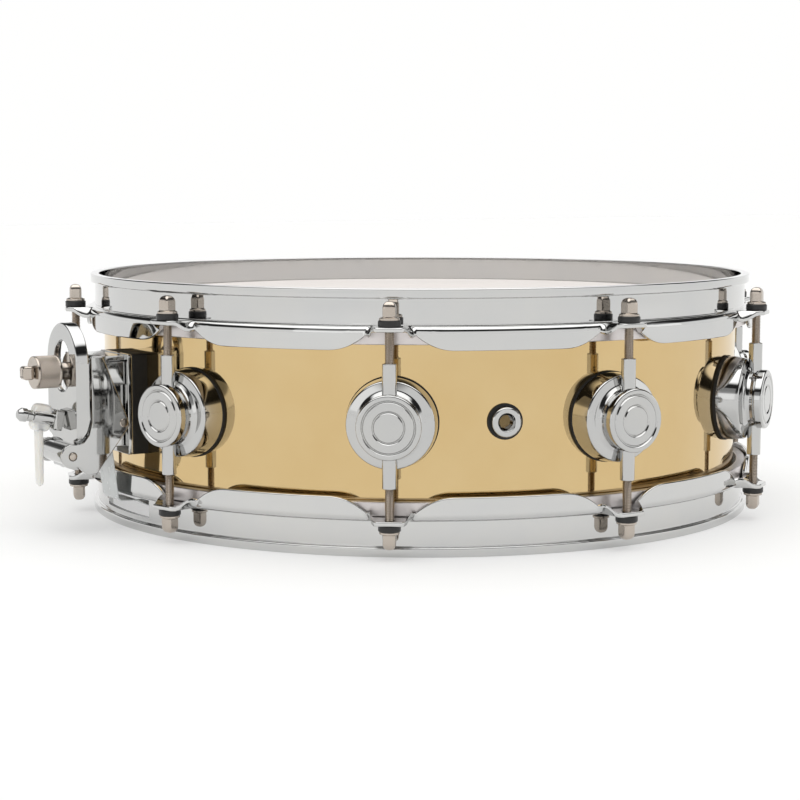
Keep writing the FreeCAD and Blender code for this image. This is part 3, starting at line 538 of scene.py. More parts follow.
class DrumHoopSettings(bpy.types.PropertyGroup):
    inner: length("Inner radius", 180.0, "Radius of the hoop's inner wall")
    sheet: length("Sheet", 2.3, "Thickness of the steel")
    bead: length("Bead radius", 184.6, "Outer radius of the rolled lip")
    bead_tall: length("Bead height", 4.8, "Height of the rolled lip")
    bead_round: length("Bead round", 1.7, "Rounding of the rolled lip")
    shelf: length("Shelf", 112.4, "Height of the flange's upper face")
    fold: length("Fold radius", 1.9, "Bend radius from shelf to skirt, at mid sheet")
    skirt: length("Skirt length", 12.03, "Length of the flange between the lugs")
    ear: length("Ear length", 15.33, "Length of the flange at a rod")
    ear_half: length("Ear half width", 7.8, "Half the width that stays flat at a rod")
    ear_blend: length("Ear blend", 6.2, "Width over which the flange turns down")
    waist: length("Waist", 4.7, "Length of the flange where the ear meets the skirt")
    sweep: length("Sweep", 20.0, "Width over which the skirt reaches its full depth")
    hole: length("Rod hole", 2.7, "Radius of the hole for a rod")
    gate: length("Gate half width", 26.0, "Half the width of a strap gate")


class DrumRodSettings(bpy.types.PropertyGroup):
    shank: length("Shank radius", 2.4, "Outer radius of the thread")
    pitch: length("Thread pitch", 0.794, "Rise of the thread in one turn")
    depth: length("Thread depth", 0.5, "Depth of the thread")
    square: length("Square", 6.35, "Width of the head across its flats")
    core: length("Head corner radius", 4.1, "Radius of the head across its corners")
    flange: length("Flange radius", 5.0, "Radius of the flange under the head")
    washer: length("Washer radius", 5.5, "Radius of the nylon washer")
    washer_bore: length("Washer bore", 2.46, "Radius of the washer's hole")
    washer_tall: length("Washer height", 3.1, "Thickness of the nylon washer")


class DrumLugSettings(bpy.types.PropertyGroup):
    segments: IntProperty(name="Segments", description="Faces round a turret", default=96, min=24)
    seat: length("Seat radius", 22.75, "Radius of the rubber seat")
    seat_thick: length("Seat thickness", 1.5, "Thickness of the rubber seat")
    tube: length("Tube radius", 3.6, "Outer radius of the cross tube")
    bore: length("Tube bore", 2.45, "Inner radius of the cross tube")
    edge: length("Edge round", 0.7, "Rounding of the turret's edges")


class DrumStrainerSettings(bpy.types.PropertyGroup):
    half: length("Half width", 18.0, "Half the width over the cheeks")
    cheek: length("Cheek", 2.4, "Thickness of a cheek")
    lever_half: length("Lever half width", 20.0, "Half the width of the lever")
    rim: length("Lever rim", 2.3, "Thickness of the lever's rim")
    slot: length("Slot radius", 10.5, "Half the width of the lever's opening")
    knob: length("Knob radius", 8.4, "Radius of the adjuster knob")
    knurl: length("Knurl depth", 0.55, "Depth of the knob's diamond knurl")
    edge: length("Edge round", 0.5, "Rounding of the castings' edges")


class DrumSnareSettings(bpy.types.PropertyGroup):
    strands: IntProperty(name="Strands", description="Number of coiled wires", default=20, min=4)
    pitch: length("Strand spacing", 2.2, "Distance between strands")
    coil: length("Coil radius", 0.68, "Radius of a strand's coil at mid wire")
    wire: length("Wire radius", 0.22, "Radius of the wire")
    lead: length("Coil pitch", 1.5, "Rise of a strand's coil in one turn")
    strap: length("Strap", 0.4, "Thickness of the strap")


class DrumFinishSettings(bpy.types.PropertyGroup):
    brass: colour("Brass", "#D6C095", "Polished brass")
    brass_deep: colour("Brass, deeper", "#CFB585", "Second tone of the brass")
    chrome: colour("Chrome", "#CFCECB", "Chrome plate")
    chrome_cool: colour("Chrome, cooler", "#C5C6C7", "Second tone of the chrome")
    cast: colour("Cast chrome", "#C5C4C1", "Chrome plate on castings")
    cast_cool: colour("Cast chrome, cooler", "#BBBCBD", "Second tone of the plated castings")
    nickel: colour("Nickel", "#C4BCB3", "Nickel plate")
    nickel_deep: colour("Nickel, deeper", "#B1A69B", "Second tone of the nickel")
    zinc: colour("Zinc", "#B4B6B6", "Zinc plate")
    zinc_blue: colour("Zinc, bluish", "#9DA3A8", "Second tone of the zinc")
    aluminium: colour("Aluminium", "#D9D3D1", "Flesh hoop")
    aluminium_grey: colour("Aluminium, grey", "#C6C1C0", "Second tone of the flesh hoop")
    wire: colour("Wire", "#C9C8C6", "Snare wire")
    rubber: colour("Rubber", "#0B0A0A", "Seats and spacers")
    nylon: colour("Nylon", "#0F0E0E", "Rod washers")
    grip: colour("Grip", "#F0EFEC", "Key grip")
    film: colour("Coated film", "#EFE9E5", "Batter head")
    clear_film: colour("Clear film", "#F2F4F4", "Snare head")
    strap: colour("Strap", "#DADDDC", "Snare straps")


class DrumStageSettings(bpy.types.PropertyGroup):
    floor: colour("Floor", "#C3C3C2", "The floor's own colour")
    floor_half: length("Floor half width", 6000.0, "Half the width of the floor")
    glow: FloatProperty(name="Floor glow", description="Light given off by the floor",
                        default=0.43, min=0, max=2)
    lens: FloatProperty(name="Lens", description="Focal length on a 36 mm sensor",
                        default=89.24, min=20, max=300, unit="CAMERA")
    sky: FloatProperty(name="Soft light", description="Strength of the surrounding light",
                       default=1.0, min=0, max=10)
    top: FloatProperty(name="Top light", description="Power of the overhead panel, in watts",
                       default=1.2, min=0, max=200)
    side: FloatProperty(name="Side light", description="Power of each side panel, in watts",
                        default=0.8, min=0, max=200)


# ---- shell and heads -----------------------------------------------------------------------------

def shell_surface(s):
    """Two turned profiles a wall apart.  Each is a lip at 45 degrees, the wall in rows, and the
    other lip; faces inside the vent's circle are left out."""
    low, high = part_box("shell")[0].z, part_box("shell")[1].z
    skew = s.wall * math.sqrt(0.5)
    rows = np.concatenate([[low + 12 * MM], np.arange(-8, 9) * MM + MIDDLE, [high - 12 * MM]])

    def side(radius, edge, back, lift):
        wall = [(radius, z) for z in rows]
        line = [(edge, low + back), (radius, low + s.inset + lift), *wall,
                (radius, high - s.inset - lift), (edge, high - back)]
        radii = [0, s.edge_round] + [0] * len(wall) + [s.edge_round, 0]
        return rounded(line, radii, 6)

    outer = side(SHELL_RADIUS, SHELL_RADIUS - s.inset, 0, 0)
    inner = side(SHELL_RADIUS - s.wall, SHELL_RADIUS - s.inset - skew, skew, skew / 2)
    turn = np.linspace(0, 2 * math.pi, 720, endpoint=False)[:, None]

    def wrap(line):
        return np.stack([line[:, 0] * np.sin(turn), -line[:, 0] * np.cos(turn),
                         line[:, 1] + 0 * turn], axis=-1)

    step = turn[1, 0]
    across = (turn + step / 2 - VENT_TURN + math.pi) % (2 * math.pi) - math.pi
    rise = (outer[1:, 1] + outer[:-1, 1]) / 2 - MIDDLE
    keep = np.hypot(across * SHELL_RADIUS, rise[None]) > s.vent_mask
    return thick_sheet(wrap(outer), wrap(inner), keep)


def head_surface(s):
    """Film turned about the axis: flat, over the bearing edge, and down into the flesh hoop."""
    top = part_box("shell")[1].z
    edge = SHELL_RADIUS - s.inset
    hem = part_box("batter_head")[1].x
    film = s.film
    under = [(0, top), (edge * 0.5, top), (edge + 0.2 * MM, top), (hem - 1.2 * MM, top - 3.4 * MM),
             (hem - film, top - 6.8 * MM), (hem - film, top - 11.3 * MM)]
    over = [(hem, top - 11.3 * MM), (hem, top - 6.8 * MM), (hem - 0.9 * MM, top - 3.25 * MM),
            (edge + 0.33 * MM, top + film), (edge * 0.5, top + film), (0, top + film)]
    radii = mm(0, 0, 0.8, 1.5, 1, 0, 0, 1, 1.5, 0.8, 0, 0)
    return lathe(rounded(under + over, radii, 4), 360)


def flesh_surface():
    """A ring outside the film's hem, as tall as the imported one."""
    lo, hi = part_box("batter_flesh_hoop")
    return ring(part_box("batter_head")[1].x, hi.x, lo.z, hi.z, 0.6 * MM, 360)


# ---- hoops ---------------------------------------------------------------------------------------

def hoop_surface(s, gated):
    """A sheet of even thickness.  Its wall and rolled lip are turned; the flange's angle below
    level runs smoothly from 0 at a rod to 90 degrees.  Its length falls smoothly from the ear's
    to the waist's, then grows to the skirt's by 1 less a 2.2 power.  Both go by the distance from
    the nearest rod along the rods' circle."""
    pitch = 2 * math.pi / len(ROD_TURNS)
    gate_turn = pitch / 2 - math.asin(s.gate / (s.inner + s.sheet / 2))
    fine = math.radians(6.2)   # columns are close together within this turn of a rod
    half = np.concatenate([np.linspace(0, fine, 26), np.linspace(fine, gate_turn, 7)[1:],
                           np.linspace(gate_turn, pitch / 2, 11)[1:-1]])
    offsets = np.concatenate([-half[::-1], half[1:], [pitch / 2]])
    turn = (np.arange(len(ROD_TURNS))[:, None] * pitch + offsets).reshape(-1, 1)
    run = np.abs((turn + pitch / 2) % pitch - pitch / 2) * ROD_REACH
    run = np.where(np.isclose(run, pitch * ROD_REACH), 0, run)
    angle = QUARTER * smooth((run - s.ear_half) / s.ear_blend)
    # an ear's end is cut back from just inside its flat part to the waist
    cut_in, cut_width, waist_out = mm(2.2, 7.2, 4.7)
    waist_run = s.ear_half + waist_out
    ear = s.ear - (s.ear - s.waist) * smooth((run - s.ear_half + cut_in) / cut_width)
    sweep = np.clip((run - waist_run) / s.sweep, 0, 1)
    reach = np.where(run < waist_run, ear, s.skirt - (s.skirt - s.waist) * (1 - sweep) ** 2.2)

    # turned part: lip, wall and shelf, outside and inside with the same number of points
    wall_out = s.inner + s.sheet
    lip_low, r = HEIGHT - s.bead_tall, s.bead_round
    fillet = 0.7 * MM
    shelf_low = s.shelf - s.sheet
    gate_rows = [HEIGHT - 7.5 * MM, HEIGHT - 16.8 * MM]
    start = 184.0 * MM
    lip = rounded([(s.bead - r, HEIGHT), (s.bead, HEIGHT), (s.bead, lip_low), (wall_out, lip_low),
                   (wall_out, lip_low - 1.2 * MM)], [0, r, r, fillet, 0], 6)
    lip_in = np.concatenate([
        rounded([(s.inner + 1.1 * MM, HEIGHT), (s.inner, HEIGHT), (s.inner, HEIGHT - 2 * MM)],
                mm(0, 0.8, 0), 6),
        np.stack([np.full(len(lip) - 8, s.inner),
                  np.linspace(HEIGHT - 2 * MM, lip_low - 1.2 * MM, len(lip) - 7)[1:]], axis=-1)])
    wall = [(wall_out, z) for z in gate_rows]
    wall_in = [(s.inner, z) for z in gate_rows]
    foot = rounded([(wall_out, gate_rows[1]), (wall_out, s.shelf), (start, s.shelf)],
                   mm(0, 0.6, 0), 5)[1:]
    foot_in = rounded([(s.inner, gate_rows[1]), (s.inner, shelf_low), (start, shelf_low)],
                      mm(0, 0.8, 0), 5)[1:]
    turned_out = np.concatenate([lip, wall, foot])
    turned_in = np.concatenate([lip_in, wall_in, foot_in])

    # flange: distance along it, and half its thickness, which rounds off at its end
    end_round = 0.7 * MM
    along = (reach - end_round) * np.linspace(0, 1, 15)[None, 1:]
    tip = np.linspace(0, QUARTER, 5)[None, 1:]
    distance = np.concatenate([along, reach - end_round + end_round * np.sin(tip)], axis=1)
    thick = np.concatenate([np.full(along.shape[1], s.sheet / 2),
                            (s.sheet / 2 - end_round + end_round * np.cos(tip))[0]])
    bent = np.minimum(distance / s.fold, angle)
    rest = distance - s.fold * bent
    out = start + s.fold * np.sin(bent) + rest * np.cos(bent)
    up = s.shelf - s.sheet / 2 - s.fold * (1 - np.cos(bent)) - rest * np.sin(bent)

    def wrap(line, side):
        radius = np.concatenate([line[:, 0] + 0 * turn, out + side * thick * np.sin(bent)], axis=1)
        height = np.concatenate([line[:, 1] + 0 * turn, up + side * thick * np.cos(bent)], axis=1)
        return np.stack([radius * np.sin(turn), -radius * np.cos(turn), height], axis=-1)

    outer, inner = wrap(turned_out, 1), wrap(turned_in, -1)

    # rod holes: faces within the circle go, and the points left on their edge move onto it
    near = np.round(turn / pitch) * pitch
    axis = np.stack([ROD_REACH * np.sin(near), -ROD_REACH * np.cos(near)], axis=-1)

    def corners_mean(a):
        nxt = np.roll(a, -1, axis=0)
        return (a[:, :-1] + a[:, 1:] + nxt[:, :-1] + nxt[:, 1:]) / 4

    middle = corners_mean(outer)
    keep = np.linalg.norm(middle[..., :2] - axis, axis=-1) > s.hole
    if gated:
        wall_first = len(lip)
        level = np.arange(middle.shape[1])
        keep &= ~((np.abs(middle[..., 1]) < s.gate) & (level == wall_first)[None, :])
    gone = ~keep
    gone = np.pad(gone, ((0, 0), (1, 1)))
    touched = gone[:, 1:] | gone[:, :-1]
    touched |= np.roll(touched, 1, axis=0)
    touched[:, :len(turned_out)] = False
    for sheet in (outer, inner):
        away = sheet[..., :2] - axis
        away *= (s.hole / np.linalg.norm(away, axis=-1))[..., None]
        sheet[..., :2] = np.where(touched[..., None], axis + away, sheet[..., :2])
    return thick_sheet(outer, inner, keep)


# ---- rods, washers and lugs ----------------------------------------------------------------------

def rod_surface(s):
    """A radius round a vertical axis.  On the thread it falls by a triangle wave of height less
    turn over pitch; on the head it is the lesser of a square's edge and the corner circle, with
    their corner eased, times a dome's factor near the top."""
    lo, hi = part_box("batter_rod_00")
    turn = np.linspace(0, 2 * math.pi, 40, endpoint=False)[:, None]
    tube_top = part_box("lug_tubes")[1].z
    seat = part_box("rod_washers")[1].z + GAP
    first, last = tube_top - 3 * MM, seat - 2 * MM
    rows = np.arange(first, last, s.pitch / 7)
    phase = (rows / s.pitch - turn / (2 * math.pi)) % 1
    fade = smooth((rows - first) / MM) * smooth((last - rows) / MM)
    thread = s.shank - s.depth * fade * (1 - np.abs(2 * phase - 1))
    plain = np.array([(0, lo.z), (s.shank - 0.6 * MM, lo.z), (s.shank, lo.z + 0.8 * MM),
                      (s.shank, first - MM)])
    flange_top = seat + 1.5 * MM
    collar = rounded([(s.shank, last + MM), (s.shank, seat), (s.flange, seat),
                      (s.flange, seat + 1.1 * MM), (s.core, flange_top)],
                     mm(0, 0, 0.3, 0.3, 0), 4)
    flats = s.square / 2 / np.maximum(np.abs(np.cos(turn)), np.abs(np.sin(turn)))
    eased = (flats ** -24 + s.core ** -24) ** (-1 / 24)
    head_low = flange_top + 0.2 * MM
    dome_low = hi.z - 3.3 * MM
    dome = np.linspace(0, QUARTER, 9)[None]
    body_rows = np.array([head_low, head_low + 0.5 * MM, dome_low])[None]
    head = np.concatenate([np.repeat(eased, 3, axis=1), eased * np.cos(dome[:, 1:]) ** 0.8],
                          axis=1)
    head_z = np.concatenate([body_rows, dome_low + (hi.z - dome_low) * np.sin(dome[:, 1:])],
                            axis=1)
    radius = np.concatenate([plain[:, 0] + 0 * turn, thread, collar[:, 0] + 0 * turn, head], axis=1)
    height = np.concatenate([plain[:, 1] + 0 * turn, rows + 0 * turn, collar[:, 1] + 0 * turn,
                             head_z + 0 * turn], axis=1)
    points = np.stack([radius * np.sin(turn), -radius * np.cos(turn), height], axis=-1)
    return grid(points, wrap_u=True)


def washer_surface(s):
    """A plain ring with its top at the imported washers' top."""
    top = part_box("rod_washers")[1].z
    return ring(s.washer_bore, s.washer, top - s.washer_tall, top, 0.5 * MM, 40)


def boss(profile, segments):
    """A profile of (radius, reach) turned about a line out of the shell.  A reach under a quarter
    of the shell's radius is counted from its face, which lies at the root of the radius squared
    less the sideways offset squared; any other is counted from the drum's axis."""
    turn = np.linspace(0, 2 * math.pi, segments, endpoint=False)[:, None]
    radius, reach = np.asarray(profile, float).T
    across, rise = radius * np.cos(turn), radius * np.sin(turn)
    face = np.sqrt(SHELL_RADIUS ** 2 - across ** 2)
    out = reach + np.where(reach < SHELL_RADIUS / 4, face, 0)
    return grid(np.stack([across, -out, rise + MIDDLE], axis=-1), wrap_u=True)


def seat_surface(radius, thick, bore=0.0):
    """A rubber pad that follows the shell: a back, a rounded rim and a front that lie an even
    distance apart."""
    rows = np.linspace(bore, radius - 0.3 * MM, 8)
    back = [(r, GAP) for r in rows]
    front = [(r, thick) for r in rows[::-1]]
    rim = rounded([(radius, GAP), (radius, thick), (rows[-1], thick)],
                  mm(0, 0.25, 0), 5)
    return boss([*back, *rim, *front[1:], *(back[:1] if bore else [])], 96)


def turret_surface(s):
    """Turned profile: a coned base, a waist, and a round cap with two shallow rings in its face."""
    front = -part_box("lug_turrets")[0].y
    line = mm((22.3, 17.6), (21.4, 10.9), (17.0, 10.0), (15.1, 8.6), (14.7, 6.8), (14.9, 5.0),
              (15.7, 3.9), (15.7, 0), (13.35, 0), (12.6, 0.75), (11.85, 0), (8.25, 0),
              (7.5, 0.75), (6.75, 0), (0, 0))
    line[:, 1] = front - line[:, 1]
    radii = mm(0, 1.1, 2.2, 1.6, 2.0, 1.2, 0.7, 1.1, 0.3, 0.25, 0.3, 0.3, 0.25, 0.3, 0)
    foot = [(radius, s.seat_thick) for radius in np.linspace(0, line[0, 0], 9)]
    return boss(np.concatenate([foot, rounded(line, radii, 5)]), s.segments)


def vent_surface():
    """Turned ring: flange with a rounded rim and a dished bore, and a barrel through the shell."""
    line = mm((3.4, 174.9), (5.2, 174.9), (5.2, 178.5), (7.4, 178.5), (7.4, 181.3), (6.6, 181.8),
              (4.6, 181.8), (3.4, 180.2))
    loop = rounded(line, mm(0.2, 0.2, 0.1, 0.2, 0.7, 0.6, 0.6, 0.5), 5, closed=True)
    return moved(lathe(loop, 72, ring=True), AT_LUG, (0, 0, MIDDLE))


# ---- strainer ------------------------------------------------------------------------------------

def on_shell(surface, low):
    """Moves the points of a strainer plate that lie at a low reach onto the shell."""
    points, lists = surface
    back = points[:, 2] < low + 1e-6
    curve = np.sqrt(SHELL_RADIUS ** 2 - points[:, 0] ** 2) + 0.02 * MM
    points[:, 2] = np.where(back, curve, points[:, 2])
    return points, lists


def spacer_surface(half, low, high, front):
    """A block whose back follows the shell, with points along its top and bottom to bend there."""
    side = np.linspace(-half + 1.2 * MM, half - 1.2 * MM, 15)
    corners = box_loop(-half, half, low, high, 1.0 * MM).reshape(4, 4, 2)
    bottom = np.stack([side, low + 0 * side], axis=-1)
    top = np.stack([side[::-1], high + 0 * side], axis=-1)
    outline = np.concatenate([corners[0], bottom, corners[1], corners[2], top, corners[3]])
    inner = 174 * MM
    return on_shell(plate(outline, inner, front, 0.5 * MM, low_bevel=0.0), inner)


def reach_of(node):
    """How near to and how far from the drum's axis a strainer node lies."""
    lo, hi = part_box(node)
    return -hi.x, -lo.x


def disc_at(near, far, radius, height, edge, bore=0.0, offset=0.0, segments=48):
    """A disc or a ring facing out of the strainer."""
    if bore:
        made = ring(bore, radius, near, far, edge, segments)
    else:
        made = lathe(rounded([(0, near), (radius, near), (radius, far), (0, far)],
                             [0, edge, edge, 0], 4), segments)
    return moved(made, AT_STRAINER, (0, offset, height))


def slab(outline, near, far, edge, rows, origin=(0, 0, 0), holes=(), low_bevel=None):
    """A plate raised along an axis of the strainer."""
    return moved(plate(outline, near, far, edge, holes, low_bevel), rows, origin)


def cheek_outline(pivot):
    """The cheek's edge: straight at the front, a hollow curve to the round pivot lug, then back
    up along a slant."""
    lug = circle(*pivot, 6.3 * MM, 22, math.radians(107), math.radians(-116))
    front = rounded(mm((201.0, 91.6), (207.5, 91.9), (207.5, 58.0), (209.1, 52.0), (212.4, 47.9),
                       (216.3, 47.2)), mm(0, 0.8, 4, 4, 3, 0), 5)[1:-1]
    back = rounded(mm((215.4, 35.6), (210.5, 31.0), (205.5, 31.0), (186.4, 55.6), (201.0, 91.6),
                      (207.5, 91.9)), mm(0, 2, 2, 3, 0.6, 0), 5)[1:-1]
    return np.concatenate([front, lug, back])


def base_surface(s, pivot):
    """Back plate, bridge and two cheeks with the pin's hole, each a plate with rounded edges."""
    lo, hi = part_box("strainer_spacer")
    near, front = 185.0 * MM, 187.6 * MM
    back = slab(box_loop(-s.half, s.half, lo.z, hi.z, 1 * MM), near, front, s.edge, AT_STRAINER)
    inner = s.half - s.cheek
    bridge = slab(box_loop(front - 0.3 * MM, 203 * MM, 89.2 * MM, 91.6 * MM, 0.6 * MM), -inner,
                  inner, 0.1 * MM, ACROSS_STRAINER)
    cheeks = [slab(cheek_outline(pivot), low, high, s.edge, ACROSS_STRAINER,
                   holes=[circle(*pivot, PIN_BORE, 32)])
              for low, high in ((inner, s.half), (-s.half, -inner))]
    return join(back, bridge, *cheeks)


def lever_outline(half, shoulder):
    """A half circle over straight sides, which step in to a narrow foot."""
    foot, low, neck, hip = mm(14.4, 33.5, 48.6, 50.4)
    under = rounded([(-half, shoulder), (-half, hip), (-foot, neck), (-foot, low), (foot, low),
                     (foot, neck), (half, hip), (half, shoulder)], mm(0, 2, 2, 1, 1, 2, 2, 0), 4)
    return np.concatenate([circle(0, shoulder, half, 40, 0, math.pi), under[1:-1]])


def lever_surface(s, pivot):
    """Face plate with an arched top, oval opening and narrow foot; a rim behind its edge; and a
    hinge barrel at the foot."""
    shoulder, back, rim_back = mm(88.5, 214.0, 209.6)
    front = min(reach_of("strainer_lever")[1], 216.5 * MM)
    half, wall = s.lever_half, s.lever_half - s.rim
    opening = np.concatenate([circle(0, 89.0 * MM, s.slot, 24, 0, math.pi),
                              circle(0, 83.5 * MM, s.slot, 24, math.pi, 2 * math.pi)])
    face = slab(lever_outline(half, shoulder), back, front, 0.9 * MM, AT_STRAINER,
                holes=[opening], low_bevel=0.0)
    arch = np.concatenate([circle(0, shoulder, half, 40, 0, math.pi),
                           circle(0, shoulder, wall, 40, math.pi, 0)])
    rim = slab(arch, rim_back, back, 0.0, AT_STRAINER, low_bevel=0.7 * MM)
    edge = rounded(mm((214.0, 88.5), (209.6, 88.5), (209.6, 59.0), (211.3, 53.4), (214.0, 50.4)),
                   mm(0, 0.3, 9, 6, 0), 7)
    walls = [slab(edge, low, high, 0.0, ACROSS_STRAINER)
             for low, high in ((-half, -wall), (wall, half))]
    barrel = moved(ring(PIN_BORE, 5.2 * MM, -14.4 * MM, 14.4 * MM, 0.4 * MM, 48),
                   ACROSS_STRAINER, (-pivot[0], 0, pivot[1]))
    return join(*[outward(part) for part in (face, rim, barrel, *walls)])


def key_place(surface):
    """From the key's own axes, with its length along Z, to where it is parked on the lever."""
    tilt = math.radians(11.5)
    along = np.array([-math.cos(tilt), 0, math.sin(tilt)])
    side = np.array([0, 1, 0])
    third = np.cross(along, side)
    return moved(surface, np.stack([side, third, along], axis=1), mm(-216.1, 0, 57.8))


def key_socket_surface():
    """A square collar with a square bore, then a turned neck, barrel and point."""
    collar = plate(square(5.25 * MM, 1 * MM), 1.8 * MM, 6.4 * MM, 0.5 * MM,
                   [square(3.25 * MM, 0.3 * MM)])
    turned = lathe(rounded(mm((0, 6.2), (4.3, 6.2), (4.3, 17.0), (2.9, 17.6), (2.9, 20.2),
                              (3.5, 20.6), (3.5, 23.4), (2.9, 24.2), (1.9, 25.4), (0, 25.4)),
                           mm(0, 0.4, 0.4, 0.3, 0.3, 0.3, 0.5, 0.5, 0.8, 0), 4), 48)
    return key_place(join(collar, turned))


def peg_surface():
    return key_place(plate(square(3.1 * MM, 0.4 * MM), 0.0, 6.0 * MM, 0.3 * MM))


def key_grip_surface():
    """A flat boss round the barrel and a tongue whose half widths swell and thin along its
    height: a rounded rectangle carried down, wider in its middle third."""
    collar = plate(box_loop(-7.0 * MM, 7.0 * MM, 7.4 * MM, 17.6 * MM, 3.2 * MM, 8), -3.2 * MM,
                   3.2 * MM, 1.4 * MM)
    boss_ring = key_place(moved(collar, ((0, 0, 1), (1, 0, 0), (0, 1, 0))))
    rows = np.linspace(0, 1, 30)[:, None]
    low, high = 24.6 * MM, 60.6 * MM
    height = high + (low - high) * rows
    swell = 1 - 0.16 * (2 * np.abs(rows - 0.42)) ** 2
    end = np.sqrt(np.clip(1 - np.clip((rows - 0.93) / 0.07, 0, 1) ** 2, 0, 1))
    start = np.sqrt(np.clip(1 - np.clip((0.06 - rows) / 0.06, 0, 1) ** 2, 0, 1))
    half_y = 3.2 * MM * swell * end * start
    half_x = 1.8 * MM * (1 - 0.1 * rows) * end * start
    turn = np.linspace(0, 2 * math.pi, 32, endpoint=False)[None]
    squareness = 0.55
    x = -229.6 * MM + half_x * np.sign(np.cos(turn)) * np.abs(np.cos(turn)) ** squareness
    y = half_y * np.sign(np.sin(turn)) * np.abs(np.sin(turn)) ** squareness
    points = np.stack([x + 0 * rows, y + 0 * rows, height + 0 * turn], axis=-1)
    tongue = grid(points, wrap_v=True)
    return join(outward(boss_ring), outward(tongue))


def knob_surface(s):
    """A turned collar and drum.  Its knurl is the product of two opposed helical triangle waves,
    sunk below the outer radius, fading at both ends."""
    near, back, far = mm(212.6, 219.0, 232.0)
    turn = np.linspace(0, 2 * math.pi, 210, endpoint=False)[:, None]
    along = np.linspace(back + 0.8 * MM, far - 0.8 * MM, 60)[None]
    cycles = 35
    lead = 2 * math.pi * s.knob / cycles
    right = (turn * cycles / (2 * math.pi) + along / lead) % 1
    left = (turn * cycles / (2 * math.pi) - along / lead) % 1
    groove = np.maximum(np.abs(2 * right - 1), np.abs(2 * left - 1)) ** 3
    fade = smooth((along - back - 0.8 * MM) / MM) * smooth((far - 0.8 * MM - along) / MM)
    radius = s.knob - s.knurl * groove * fade
    collar, bore = mm(4.6, 2.55)
    first = rounded([(s.knob - 6 * MM, near), (collar, near), (collar, back), (s.knob, back),
                     (s.knob, back + 0.7 * MM)], mm(0, 0.3, 0.3, 0.6, 0), 5)
    last = rounded([(s.knob, far - 0.7 * MM), (s.knob, far), (bore, far), (bore, near)],
                   mm(0, 0.6, 0.3, 0), 5)
    all_r = np.concatenate([first[:, 0] + 0 * turn, radius, last[:, 0] + 0 * turn], axis=1)
    all_z = np.concatenate([first[:, 1] + 0 * turn, along + 0 * turn,
                            last[:, 1] + 0 * turn], axis=1)
    points = np.stack([all_r * np.cos(turn), all_r * np.sin(turn), all_z], axis=-1)
    return moved(grid(points, wrap_u=True, wrap_v=True), AT_STRAINER, (0, 0, KNOB_HEIGHT))


def tube_along(path, radius, sides, side=(0.0, 0.0, 1.0)):
    """A round tube on a path: at each point the section lies across the path's direction."""
    along = np.gradient(path, axis=0)
    along /= np.linalg.norm(along, axis=1)[:, None]
    across = np.cross(along, np.array(side))
    across /= np.linalg.norm(across, axis=1)[:, None]
    third = np.cross(along, across)
    turn = np.linspace(0, 2 * math.pi, sides, endpoint=False)[None, :, None]
    points = path[:, None] + radius * (np.cos(turn) * across[:, None]
                                       + np.sin(turn) * third[:, None])
    ends = np.broadcast_to(path[[0, -1]][:, None], (2, sides, 3))
    points = np.concatenate([ends[:1], points, ends[1:]])
    return grid(points, wrap_v=True)


def spring_surface():
    """A helix of four turns between the carriage and the washer."""
    near, far, radius = mm(203.4, 210.8, 4.0)
    share = np.linspace(0, 1, 110)
    turn = share * 4.0 * 2 * math.pi
    path = np.stack([radius * np.cos(turn), radius * np.sin(turn), near + (far - near) * share],
                    axis=-1)
    return moved(tube_along(path, 0.55 * MM, 8), AT_STRAINER, (0, 0, KNOB_HEIGHT))


def carriage_surface(s):
    """Two blocks between the cheeks and the barrel that holds the magnet."""
    near, far = 187.9, 203.0
    low = rounded(mm((near, 44.0), (193.2, 44.0), (193.2, 56.0), (far, 62.0), (far, 76.4),
                     (near, 76.4)), mm(0.4, 0.6, 2, 1, 0.4, 0.4), 5, closed=True)
    high = rounded(mm((near, 76.5), (far, 76.5), (far, 88.4), (near, 88.4)),
                   mm(0.4, 1.6, 1.6, 0.4), 5, closed=True)
    blocks = [slab(outline, -half * MM, half * MM, s.edge, ACROSS_STRAINER)
              for outline, half in ((low, 13), (high, 15.2))]
    barrel = disc_at(203.1 * MM, 208.0 * MM, 9.6 * MM, BARREL_HEIGHT, 0.8 * MM, bore=6.0 * MM,
                     segments=64)
    return join(*blocks, barrel)


def screw_head(near, far, radius, height, offset):
    """A pan head with a cross recess left as a shallow dish: a turned crown and a sunk centre."""
    line = rounded([(0, near), (radius, near), (radius, near + (far - near) * 0.4),
                    (radius * 0.6, far), (radius * 0.34, far), (radius * 0.24, far - 0.6 * MM),
                    (0, far - 0.7 * MM)], mm(0, 0.1, 0.6, 0.6, 0.1, 0.1, 0), 4)
    return moved(lathe(line, 32), AT_STRAINER, (0, offset, height))


def pin_surface(s, pivot):
    """The hinge pin from cheek to cheek, and a small stop pin's head on each cheek."""
    end, radius = s.half + 0.4 * MM, 2.0 * MM
    line = rounded([(0, -end), (radius, -end), (radius, end), (0, end)], mm(0, 0.5, 0.5, 0), 4)
    hinge = moved(lathe(line, 32), ACROSS_STRAINER, (-pivot[0], 0, pivot[1]))
    low, high, wide = s.half - 1 * MM, s.half + 0.5 * MM, 2.3 * MM
    stop = lathe(rounded([(0, low), (wide, low), (wide, high), (0, high)],
                         mm(0, 0.1, 0.4, 0), 4), 32)
    stops = [moved((stop[0] * (1, 1, side), stop[1]), ACROSS_STRAINER, mm(-190.1, 0, 56.9))
             for side in (-1, 1)]
    return join(outward(hinge), *[outward(made) for made in stops])


# ---- butt, straps and snares ---------------------------------------------------------------------

def half_turned(surface):
    """The butt's side: half a turn about the drum's axis."""
    return surface[0] * (-1, -1, 1), surface[1]


